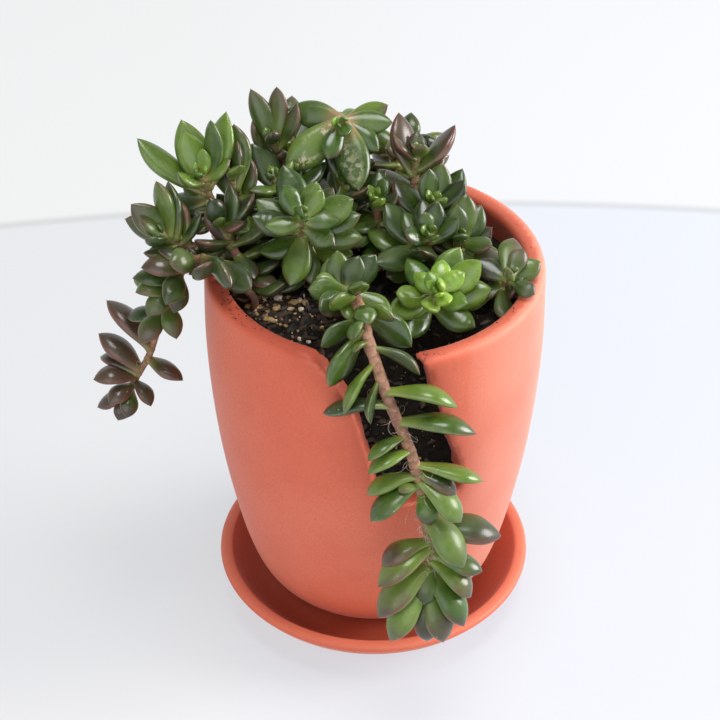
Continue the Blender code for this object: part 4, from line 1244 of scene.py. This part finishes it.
leafSkin = {
    "rings": 26, "around": 18, "wide": 1.06, "top": 0.46, "keel": 0.56, "channel": 0.06, "keelRidge": 0.05,
    "wobble": 0.03, "mucro": 0.45,
}
budSkin = {
    "rings": 14, "around": 10, "count": 4, "longest": 5.4, "shortest": 3.2, "upTo": 6.8,
    "turn": 2.39996, "rise": 48, "riseOver": 34, "curl": 30,
}
leafLook = {
    "deep": (0.007, 0.018, 0.003), "mid": (0.029, 0.060, 0.007), "light": (0.088, 0.142, 0.016),
    "youngDeep": (0.065, 0.165, 0.010), "youngLight": (0.260, 0.420, 0.045),
    "purple": (0.070, 0.038, 0.028), "purpleDeep": (0.028, 0.019, 0.014), "red": (0.150, 0.048, 0.034),
    "base": (0.220, 0.255, 0.045), "rosy": (0.420, 0.190, 0.120), "bloom": (0.150, 0.155, 0.085),
    "margin": (0.260, 0.290, 0.140), "tip": (0.110, 0.036, 0.024), "fleck": (0.560, 0.500, 0.340),
    "glowRadius": (0.35, 0.8, 0.18), "glowScale": 0.0016, "coatRough": 0.22, "specular": 0.32,
    "cloud": (160.0, 5.0, 0.6), "fine": (1400.0, 4.0, 0.6), "stainFrom": 0.90, "stainTo": 1.42,
    "bloomShown": 0.62, "pores": (1500.0, 0.35, 0.3), "poresShown": 0.20,
    "flecks": (620.0, 0.035, 0.22), "flecksShown": 0.5, "bump": 0.16, "bumpDepth": 0.00025,
    "finishes": {
        "green_leaves": ("greenLeaf", {"gloss": 0.26, "wax": 0.55, "glow": 0.06}),
        "young_leaves": ("youngLeaf", {"gloss": 0.24, "wax": 0.60, "glow": 0.18}),
        "dark_leaves": ("darkLeaf", {"gloss": 0.26, "wax": 0.55, "glow": 0.04}),
    },
}


def leafMaterial(name, finish):
    look = leafLook
    material, tree, shader = startMaterial(name, 0.4)
    shader["Subsurface Weight"].default_value = finish["glow"]
    shader["Subsurface Radius"].default_value = look["glowRadius"]
    shader["Subsurface Scale"].default_value = look["glowScale"]
    shader["Coat Roughness"].default_value = look["coatRough"]
    shader["Specular IOR Level"].default_value = look["specular"]
    along, side, upper, seed = (readValue(tree, "leaf" + key) for key in ("Along", "Across", "Upper", "Seed"))
    across = mathNode(tree, "ABSOLUTE", side)
    cloud = noiseNode(tree, *look["cloud"])
    fine = noiseNode(tree, *look["fine"])
    # green: deeper or lighter from leaf to leaf and in soft patches
    share = plus(tree, times(tree, seed, 0.55), times(tree, cloud, 0.75))
    colour = mixColour(tree, rangeNode(tree, share, 0.30, 0.78), look["deep"], look["mid"])
    colour = tint(tree, colour, look["light"], rangeNode(tree, share, 0.66, 1.05, 0.0, 0.8))
    lime = mixColour(tree, rangeNode(tree, share, 0.35, 0.85), look["youngDeep"], look["youngLight"])
    colour = tint(tree, colour, lime, readValue(tree, "leafYoung"))
    # pale toward the base, and a painted highlight along the middle of the upper side
    colour = tint(tree, colour, look["base"], rangeNode(tree, along, 0.02, 0.42, 0.62, 0.0))
    stalk = rangeNode(tree, along, 0.04, 0.40, 1.0, 0.0)
    colour = tint(tree, colour, look["rosy"], stalk, readValue(tree, "leafRosy"))
    # painted highlight: lighter along the middle of the upper side
    colour = tint(tree, colour, look["light"], rangeNode(tree, across, 0.0, 0.5, 0.22, 0.0), upper)
    # purple toward the tip, to one side and on the underside
    lean = times(tree, side, mathNode(tree, "SUBTRACT", seed, 0.5))
    reach = readValue(tree, "leafPurple")
    for value, strength in ((along, 0.68), (cloud, 0.55), (lean, 0.45), (upper, -0.14)):
        reach = plus(tree, reach, times(tree, value, strength))
    stain = rangeNode(tree, reach, look["stainFrom"], look["stainTo"], 0.0, 0.95)
    dusk = mixColour(tree, rangeNode(tree, seed, 0.2, 0.8), look["purpleDeep"], look["purple"])
    colour = tint(tree, colour, dusk, stain)
    # waxy bloom, thin and uneven
    bloom = times(tree, patches(tree, (90.0, 4.0, 0.6), (0.36, 0.70)), readValue(tree, "leafBloom"))
    colour = tint(tree, colour, look["bloom"], bloom, look["bloomShown"])
    # thin pale margin, red where the leaf is purple, and a reddish point
    broken = rangeNode(tree, cloud, 0.38, 0.62, 0.10, 0.55)
    colour = tint(tree, colour, look["margin"], rangeNode(tree, across, 0.955, 1.0), broken)
    colour = tint(tree, colour, look["red"], rangeNode(tree, across, 0.72, 1.0, 0.0, 0.7), stain)
    colour = tint(tree, colour, look["tip"], rangeNode(tree, along, 0.965, 1.0, 0.0, 0.85))
    # fine pores and flecks
    pores = placeGroup(tree, "specks", *look["pores"])["Mask"]
    colour = tint(tree, colour, look["margin"], pores, look["poresShown"])
    flecks = placeGroup(tree, "specks", *look["flecks"])["Mask"]
    colour = tint(tree, colour, look["fleck"], flecks, look["flecksShown"])
    # pale scurf down the middle of a few old leaves
    flakes = patches(tree, (520.0, 6.0, 0.72), (0.47, 0.56))
    islands = patches(tree, (110.0, 2.0, 0.5), (0.42, 0.58))
    middle = rangeNode(tree, across, 0.35, 0.9, 1.0, 0.0)
    colour = tint(tree, colour, look["fleck"], flakes, islands, readValue(tree, "leafFleck"), middle)
    join(tree, colour, shader["Base Color"])
    gloss = rangeNode(tree, cloud, 0.3, 0.7, finish["gloss"], finish["gloss"] + 0.12)
    join(tree, plus(tree, gloss, times(tree, bloom, 0.30)), shader["Roughness"])
    dulled = times(tree, bloom, finish["wax"] * 1.3)
    join(tree, mathNode(tree, "SUBTRACT", finish["wax"], dulled, clamp=True), shader["Coat Weight"])
    # fine ridges across old leaves, and an even grain
    waves = plus(tree, times(tree, readValue(tree, "leafReach"), 7.0), times(tree, cloud, 6.0))
    ridge = times(tree, mathNode(tree, "SINE", waves), readValue(tree, "leafRidge"))
    height = plus(tree, times(tree, fine, 0.6), times(tree, ridge, 0.35))
    height = plus(tree, height, times(tree, pores, 0.2))
    addBump(tree, shader, height, look["bump"], look["bumpDepth"])
    return material


def leafMesh(leaf, skin, chance, tone):
    # rings of points along the leaf, with its place values for the material
    rings, around = skin["rings"], skin["around"]
    t = 1 - (1 - np.arange(rings) / rings) ** 1.7
    angle = 2 * math.pi * np.arange(around) / around
    x = np.sign(np.cos(angle)) * np.abs(np.cos(angle)) ** 0.94
    side = np.sin(angle)
    bulge = np.sqrt(np.clip(1 - x * x, 0, 1)) ** 1.1
    foot = np.exp(-t / 0.10)
    tip = np.clip((t - 0.8) / 0.2, 0, 1) ** 2
    body = np.sin(math.pi * np.clip(t, 0, 1)) ** 0.6
    upper = (leafSkin["top"] + 0.35 * foot + 0.10 * tip)[:, None] * bulge[None, :]
    upper = upper - (leafSkin["channel"] * tone["channel"] * body)[:, None] * fadeOut(x, 0.34)[None, :]
    lower = (leafSkin["keel"] + 0.22 * foot + 0.05 * tip)[:, None] * bulge[None, :]
    lower = lower + (leafSkin["keelRidge"] * body)[:, None] * fadeOut(x, 0.2)[None, :]
    up = np.where(side[None, :] >= 0, upper, -lower)
    lopsided = 1 + tone["lopsided"] * np.sign(x)[None, :] * body[:, None]
    phase = chance.uniform(0, 6.28)
    wave = leafSkin["wobble"] * np.sin(t * 9 + phase)[:, None] * np.abs(x)[None, :]
    half = leaf["half"] * leafSkin["wide"] * tone["slim"] * fineWidth(np.clip(t ** tone["early"], 0, 1))
    centre, normal = leafSection(leaf, t[:, None])
    bend = leaf["half"] * tone["recurve"] * np.clip((t - 0.5) / 0.5, 0, 1) ** 2
    centre = centre + bend[:, None] * normal
    crinkle = 1 + tone["crinkle"] * np.sin(t * leaf["length"] * 2.6 + phase)[:, None]
    points = (centre[:, None] + half[:, None, None] * ((x[None, :] * lopsided)[..., None] * leaf["s"]
              + ((up + wave) * crinkle)[..., None] * normal[:, None]))
    tipCentre, tipNormal = leafSection(leaf, 1.0)
    k = leaf["curl"] * 0.5
    ahead = math.cos(k) * leaf["d"] + math.sin(k) * leaf["n"]
    point = tipCentre + tipNormal * leaf["half"] * tone["recurve"] + ahead * leafSkin["mucro"]
    points = np.vstack([points.reshape(-1, 3), point, centre[0] - leaf["d"] * 0.4])
    along = np.repeat(t, around)
    values = {
        "leafAlong": np.concatenate([along, [1.0, 0.0]]),
        "leafAcross": np.concatenate([np.tile(x, rings), [0.0, 0.0]]),
        "leafUpper": np.concatenate([np.tile(side * 0.5 + 0.5, rings), [0.5, 0.5]]),
        "leafReach": np.concatenate([along * leaf["length"], [leaf["length"], 0.0]]),
    }
    for key in ("leafSeed", "leafPurple", "leafYoung", "leafBloom", "leafRidge", "leafRosy", "leafFleck"):
        values[key] = np.full(len(points), tone[key])
    return points, cappedTube(rings, around), values


def leafTone(leaf, stem, chance):
    share, length = leaf["share"], leaf["length"]
    foot = np.array(stem["tone"], float)
    tip = np.array(stem.get("tipTone", stem["tone"]), float)
    far = np.clip((share - 0.5) / 0.4, 0, 1)
    stemPurple, stemYoung, stemBloom = foot + (tip - foot) * far
    # older leaves lie lower on the stem; short ones near the tip are younger
    fresh = np.clip((share - 0.80) / 0.2, 0, 1) * np.clip((15.0 - length) / 9.0, 0, 1)
    young = np.clip(stemYoung * (0.75 + 0.4 * fresh) + 0.20 * fresh + chance.gauss(0, 0.07), 0, 1)
    purple = np.clip(stemPurple + chance.gauss(0, 0.14) - 0.25 * fresh, 0, 1)
    bloom = np.clip(stemBloom + chance.gauss(0, 0.12), 0, 1)
    slimFrom, slimTo, slim = stem["slim"]
    return {
        "leafSeed": chance.random(), "leafPurple": purple, "leafYoung": young, "leafBloom": bloom,
        "leafRidge": np.clip(length / 26.0 - 0.55 + chance.gauss(0, 0.15), 0, 1),
        "leafRosy": stem["rosy"] * chance.uniform(0.6, 1.0),
        "leafFleck": stem["flecked"] * (length > 26) * (0.5 if share > 0.95 else 1.1),
        "channel": chance.uniform(-0.2, 1.3), "lopsided": chance.gauss(0, 0.03),
        "early": chance.uniform(0.86, 1.12) * stem["late"], "recurve": chance.uniform(-0.22, 0.42),
        "crinkle": max(0.0, chance.gauss(0.0, 0.02)), "slim": slim if slimFrom < share < slimTo else 1.0,
    }


def budLeaves(name, stem, chance):
    # tiny leaves that stand round the growing tip
    path = stemPath(stem, leafLayout["pathSteps"])
    tip = path[-1]
    axis = unit(path[-1] - path[-3])
    side = unit(np.cross(axis, [0.3, 0.2, 0.9]))
    other = np.cross(axis, side)
    count = budSkin["count"]
    made = []
    for k in range(count):
        a = k * budSkin["turn"] + chance.uniform(-0.2, 0.2)
        rise = math.radians(budSkin["rise"] + budSkin["riseOver"] * k / count)
        radial = math.cos(a) * side + math.sin(a) * other
        d = unit(math.cos(rise) * radial + math.sin(rise) * axis)
        n = unit(axis - (axis @ d) * d)
        length = budSkin["longest"] - (budSkin["longest"] - budSkin["shortest"]) * k / count
        made.append({
            "base": tip + axis * (0.2 + 0.12 * k) + radial * 0.5, "d": d, "n": n, "s": np.cross(d, n),
            "length": length, "curl": math.radians(budSkin["curl"]), "half": 0.9 + 0.17 * length,
            "share": 1.0, "stem": name,
        })
    return made


def makeLeaves(name, stem, leaves, chance):
    points, faces, values = [], [], {}
    count = 0
    for leaf in leaves:
        skin = budSkin if leaf["length"] < budSkin["upTo"] else leafSkin
        leafPoints, leafFaces, leafValues = leafMesh(leaf, skin, chance, leafTone(leaf, stem, chance))
        points.append(leafPoints)
        faces.extend([[c + count for c in face] for face in leafFaces])
        for key, row in leafValues.items():
            values.setdefault(key, []).append(row)
        count += len(leafPoints)
    values = {key: np.concatenate(rows) for key, rows in values.items()}
    return makePiece(name + "_leaves", np.vstack(points), faces, values)


stemSkin = {"sides": 14, "steps": 9, "taper": 0.75, "scar": 0.13, "scarWidth": 0.55, "knobs": 0.08}
stemLook = {
    "tan": (0.380, 0.195, 0.115), "brown": (0.200, 0.098, 0.058), "green": (0.160, 0.190, 0.060),
    "purple": (0.160, 0.050, 0.042), "scar": (0.095, 0.050, 0.032),
    "cloud": (300.0, 5.0, 0.65), "grain": (1600.0, 260.0), "bump": 0.5, "bumpDepth": 0.0003,
}


def stemMaterial():
    look = stemLook
    material, tree, shader = startMaterial("stemBark", 0.6)
    reach = readValue(tree, "stemReach")
    cloud = noiseNode(tree, *look["cloud"])
    colour = mixColour(tree, rangeNode(tree, cloud, 0.35, 0.68), look["tan"], look["brown"])
    youngEnd = rangeNode(tree, readValue(tree, "stemAlong"), 0.70, 1.0, 0.0, 0.75)
    colour = tint(tree, colour, look["green"], youngEnd)
    colour = tint(tree, colour, look["purple"], patches(tree, (120.0, 3.0, 0.5), (0.50, 0.70, 0.0, 0.45)))
    # rings of leaf scars, and a darker foot
    rings = mathNode(tree, "SINE", plus(tree, times(tree, reach, 2.1), times(tree, cloud, 15.0)))
    scar = rangeNode(tree, rings, 0.70, 0.98, 0.0, 0.5)
    colour = tint(tree, colour, look["scar"], scar)
    colour = tint(tree, colour, look["scar"], rangeNode(tree, reach, 14.0, 30.0, 0.75, 0.0))
    join(tree, colour, shader["Base Color"])
    grain = placeGroup(tree, "grain", *look["grain"])
    join(tree, rangeNode(tree, grain["Tone"], 0.3, 0.7, 0.5, 0.75), shader["Roughness"])
    addBump(tree, shader, mathNode(tree, "SUBTRACT", grain["Height"], scar), look["bump"], look["bumpDepth"])
    return material


def tubeFrames(path):
    # two directions across the path and the one along it, without twist
    tangents = np.gradient(path, axis=0)
    tangents = tangents / np.linalg.norm(tangents, axis=1)[:, None]
    side = np.array([1.0, 0.0, 0.0])
    frames = []
    for tangent in tangents:
        side = unit(side - (side @ tangent) * tangent)
        frames.append((side, np.cross(tangent, side), tangent))
    return frames


def makeStem(name, stem, leaves, chance):
    path = stemPath(stem, stemSkin["steps"])
    sides = stemSkin["sides"]
    lengths = np.concatenate([[0.0], np.cumsum(np.linalg.norm(np.diff(path, axis=0), axis=1))])
    whole = lengths[-1]
    nodes = np.array([leaf["share"] * whole for leaf in leaves] + [whole])
    shift = chance.uniform(0, 40)
    points = []
    frames = tubeFrames(path)
    for centre, reach, (side, across, tangent) in zip(path, lengths, frames):
        radius = stem["radius"] * (1 - (1 - stemSkin["taper"]) * (reach / whole))
        swell = stemSkin["scar"] * fadeOut(nodes - reach, stemSkin["scarWidth"]).max()
        for i in range(sides):
            a = 2 * math.pi * i / sides
            knob = noise.noise(Vector((math.cos(a) * 1.2 + shift, math.sin(a) * 1.2, reach * 0.45)))
            r = radius * (1 + swell + stemSkin["knobs"] * knob)
            points.append(centre + r * (math.cos(a) * side + math.sin(a) * across))
    points.append(path[-1] + frames[-1][2] * stem["radius"] * 0.7)
    points.append(path[0])
    reached = np.concatenate([np.repeat(lengths, sides), [whole, 0.0]])
    values = {"stemReach": reached, "stemAlong": reached / whole}
    return makePiece(name + "_stem", points, cappedTube(len(path), sides), values)


hairLook = {
    "pale": (0.70, 0.62, 0.50), "warm": (0.42, 0.28, 0.17),
    "sides": 3, "steps": 12, "radius": 0.065, "rootRadius": 0.085, "drop": -0.16, "rootDrop": -0.10,
    "curl": 0.34, "stray": 0.22, "seed": 31, "potGap": 0.25,
    "places": (
        # stem, share of its length from and to, how many, length from and to, root or hair
        ("front_trailing_stem", 0.50, 0.62, 9, 5.0, 12.0, 0),
        ("front_trailing_stem", 0.64, 0.78, 16, 5.0, 13.0, 0),
        ("front_trailing_stem", 0.78, 0.96, 90, 2.5, 7.0, 1),
        ("bright_rosette", 0.60, 1.00, 16, 7.0, 18.0, 0),
        ("right_rim_rosette", 0.65, 0.99, 6, 6.0, 14.0, 0),
        ("left_hanging_sprig", 0.60, 0.90, 6, 3.0, 7.0, 0),
        ("hero_rosette", 0.40, 0.70, 5, 5.0, 10.0, 0),
    ),
}


def hairMaterial():
    material, tree, shader = startMaterial("fineRoots", 0.6)
    cloud = patches(tree, (500.0, 4.0, 0.6), (0.35, 0.65))
    join(tree, mixColour(tree, cloud, hairLook["pale"], hairLook["warm"]), shader["Base Color"])
    grain = placeGroup(tree, "grain", 3000.0, 500.0)
    join(tree, rangeNode(tree, grain["Tone"], 0.3, 0.7, 0.45, 0.75), shader["Roughness"])
    return material


def randomVector(chance):
    return np.array([chance.gauss(0, 1) for c in range(3)])


def hairLine(chance, stem, path, start, end, shortest, longest, rooty):
    # a thread that leaves the stem, curls and sinks, cut off where it would enter the pot
    steps = hairLook["steps"]
    base, axis = alongStem(path, chance.uniform(start, end))
    out = unit(np.array([chance.gauss(0, 1), chance.gauss(-0.6, 0.8), chance.gauss(0, 0.8)]))
    out = unit(out - (out @ axis) * axis)
    length = chance.uniform(shortest, longest)
    place = base + out * stem["radius"] * 0.7
    way = out
    curl = unit(randomVector(chance))
    drop = np.array([0.0, 0.0, hairLook["rootDrop"] if rooty else hairLook["drop"]])
    line = [place]
    for step in range(steps):
        turned = way + hairLook["curl"] * np.cross(curl, way) + drop
        way = unit(turned + hairLook["stray"] * randomVector(chance))
        place = place + way * length / steps
        line.append(place)
    line = np.array(line)
    clear = ~inPot(line, hairLook["potGap"])
    if not clear[3:].all():
        line = line[:max(4, int(np.argmin(clear[3:])) + 3)]
    return line


def makeHairs():
    chance = random.Random(hairLook["seed"])
    sides = hairLook["sides"]
    points, faces = [], []
    for name, start, end, count, shortest, longest, rooty in hairLook["places"]:
        path = stemPath(stems[name], leafLayout["pathSteps"])
        thick = hairLook["rootRadius"] if rooty else hairLook["radius"]
        for k in range(count):
            line = hairLine(chance, stems[name], path, start, end, shortest, longest, rooty)
            first = len(points)
            for i, (spot, (side, across, tangent)) in enumerate(zip(line, tubeFrames(line))):
                r = thick * (1 - 0.5 * i / len(line))
                for c in range(sides):
                    a = 2 * math.pi * c / sides
                    points.append(spot + r * (math.cos(a) * side + math.sin(a) * across))
            faces += tubeFaces(len(line), sides, first)
            last = len(points) - sides
            faces.append([first + 2, first + 1, first])
            faces.append([last, last + 1, last + 2])
    return makePiece("fineRoots", points, faces)


stageLook = {
    "floorHalf": 6.0, "floorBase": (0.21, 0.21, 0.215), "floorRough": 0.7, "floorSpecular": 0.2,
    # the floor's own glow, left to right: in front of the pot, nearest the camera, and past the table's edge
    "glowLeft": (0.53, 0.55, 0.565), "glowRight": (0.56, 0.595, 0.66),
    "nearLeft": (0.70, 0.685, 0.70), "nearRight": (0.62, 0.625, 0.67),
    "backLeft": (0.60, 0.62, 0.615), "backRight": (0.635, 0.645, 0.67),
    "tableCentre": (0.0437, -1.0281, 0.0), "tableRadius": 1.302, "edgeShade": 0.22,
    "skyLow": 0.80, "skyHigh": 0.18, "skyBack": 0.92,
    # name, place, size, power and colour
    "lights": (
        ("windowLight", (1.35, 0.12, 0.62), 0.8, 24.0, (1.0, 0.98, 0.96)),
        ("topLight", (0.14, -0.12, 1.55), 0.7, 13.0, (1.0, 1.0, 1.0)),
        ("fillLight", (-0.4, -1.7, 1.1), 2.2, 17.0, (0.95, 0.97, 1.0)),
    ),
    "lightsAim": (0.0, 0.0, 0.10),
    "cameraPlace": (-0.0055, -0.6224, 0.6013), "cameraPitch": 51.8, "lens": 103.5,
}


def makeFloor():
    look = stageLook
    size = look["floorHalf"]
    points = [(-size, -size), (size, -size), (size, size), (-size, size)]
    floor = makePiece("studioFloor", [(x / mm, y / mm, 0.0) for x, y in points], [[0, 1, 2, 3]], smooth=False)
    material, tree, shader = startMaterial("paleFloor", look["floorRough"])
    shader["Specular IOR Level"].default_value = look["floorSpecular"]
    shader["Base Color"].default_value = (*look["floorBase"], 1.0)
    shader["Emission Strength"].default_value = 1.0
    place = objectPlace(tree)
    parts = separate(tree, place)
    across = rangeNode(tree, parts["X"], -0.12, 0.10)
    front, near, back = (mixColour(tree, across, look[key + "Left"], look[key + "Right"])
                         for key in ("glow", "near", "back"))
    front = mixColour(tree, rangeNode(tree, parts["Y"], -0.03, -0.16), front, near)
    # the far edge of a round table, a thin darker line
    measure = addNode(tree, "ShaderNodeVectorMath", operation="DISTANCE")
    join(tree, place, measure.inputs[0])
    measure.inputs[1].default_value = look["tableCentre"]
    fromEdge = mathNode(tree, "SUBTRACT", measure.outputs["Value"], look["tableRadius"])
    tone = mixColour(tree, rangeNode(tree, fromEdge, -0.0025, 0.0025), front, back)
    line = rangeNode(tree, mathNode(tree, "ABSOLUTE", fromEdge), 0.0, 0.0055, look["edgeShade"], 0.0)
    join(tree, tint(tree, tone, (0.0, 0.0, 0.0), line), shader["Emission Color"])
    floor.data.materials.append(material)


def addLight(name, place, size, power, colour):
    lamp = bpy.data.lights.new(name, "AREA")
    lamp.shape = "DISK"
    lamp.size = size
    lamp.energy = power
    lamp.color = colour
    made = addToScene(name, lamp)
    made.location = place
    aim = Vector(stageLook["lightsAim"]) - Vector(place)
    made.rotation_euler = aim.to_track_quat("-Z", "Y").to_euler()


def lightStage():
    world = bpy.data.worlds.new("studioWorld")
    bpy.context.scene.world = world
    world.use_nodes = True
    # bright all round the horizon and at the back, as pale walls are, and darker overhead
    tree = world.node_tree
    sky = tree.nodes["Background"].inputs
    parts = separate(tree, addNode(tree, "ShaderNodeTexCoord").outputs["Generated"])
    low = rangeNode(tree, parts["Z"], 0.30, 0.80, stageLook["skyLow"], stageLook["skyHigh"])
    behind = rangeNode(tree, parts["Y"], 0.35, 0.75, 0.0, stageLook["skyBack"])
    join(tree, mathNode(tree, "MAXIMUM", low, behind), sky["Strength"])
    sky["Color"].default_value = (1.0, 1.0, 1.0, 1.0)
    for row in stageLook["lights"]:
        addLight(*row)


def addCamera():
    lens = bpy.data.cameras.new("photoCamera")
    lens.lens = stageLook["lens"]
    lens.sensor_width = 36.0
    lens.clip_start = 0.01
    camera = addToScene("photoCamera", lens)
    camera.location = stageLook["cameraPlace"]
    camera.rotation_euler = (math.radians(stageLook["cameraPitch"]), 0.0, 0.0)
    bpy.context.scene.camera = camera


def keepPiece(piece, material, slotName, *nodes):
    piece.data.materials.append(material)
    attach(piece, "root")
    if nodes:
        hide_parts(*nodes)


bpy.context.scene.view_settings.view_transform = "Standard"
addCamera()
makeFloor()
lightStage()
print("stage ready")

pot = makePot()
keepPiece(pot, terracottaMaterial("potClay", 0.42, 0.55), "pot_terracotta", "pot")
print("pot", len(pot.data.polygons), "faces")
saucer = makeSaucer()
keepPiece(saucer, terracottaMaterial("saucerClay", 0.30, 0.60), "saucer_terracotta", "saucer")
print("saucer", len(saucer.data.polygons), "faces")
soil = makeSoil()
keepPiece(soil, soilMaterial(), "potting_soil", "soil")
pebbles = makePebbles()
keepPiece(pebbles, pebbleMaterial(), "potting_soil")
print("soil ready,", len(pebbles.data.polygons), "faces of grit")

leafMaterials = {slotName: leafMaterial(*finish) for slotName, finish in leafLook["finishes"].items()}
nodeSlots = {row["node"]: row["material_slot"] for row in frame["record"]["subparts"]}
bark = stemMaterial()
laidLeaves = layOutLeaves()
print("laid out", len(laidLeaves), "leaves")
for order, (name, stem) in enumerate(stems.items()):
    chance = random.Random(100 + order)
    own = [leaf for leaf in laidLeaves if leaf["stem"] == name]
    stalk = makeStem(name, stem, own, chance)
    keepPiece(stalk, bark, nodeSlots[name], name)
    leaves = makeLeaves(name, stem, own + budLeaves(name, stem, chance), chance)
    keepPiece(leaves, leafMaterials[nodeSlots[name]], nodeSlots[name], name)
print("leafy stems ready")
hairs = makeHairs()
keepPiece(hairs, hairMaterial(), "green_leaves")
print("fine roots", len(hairs.data.polygons), "faces")
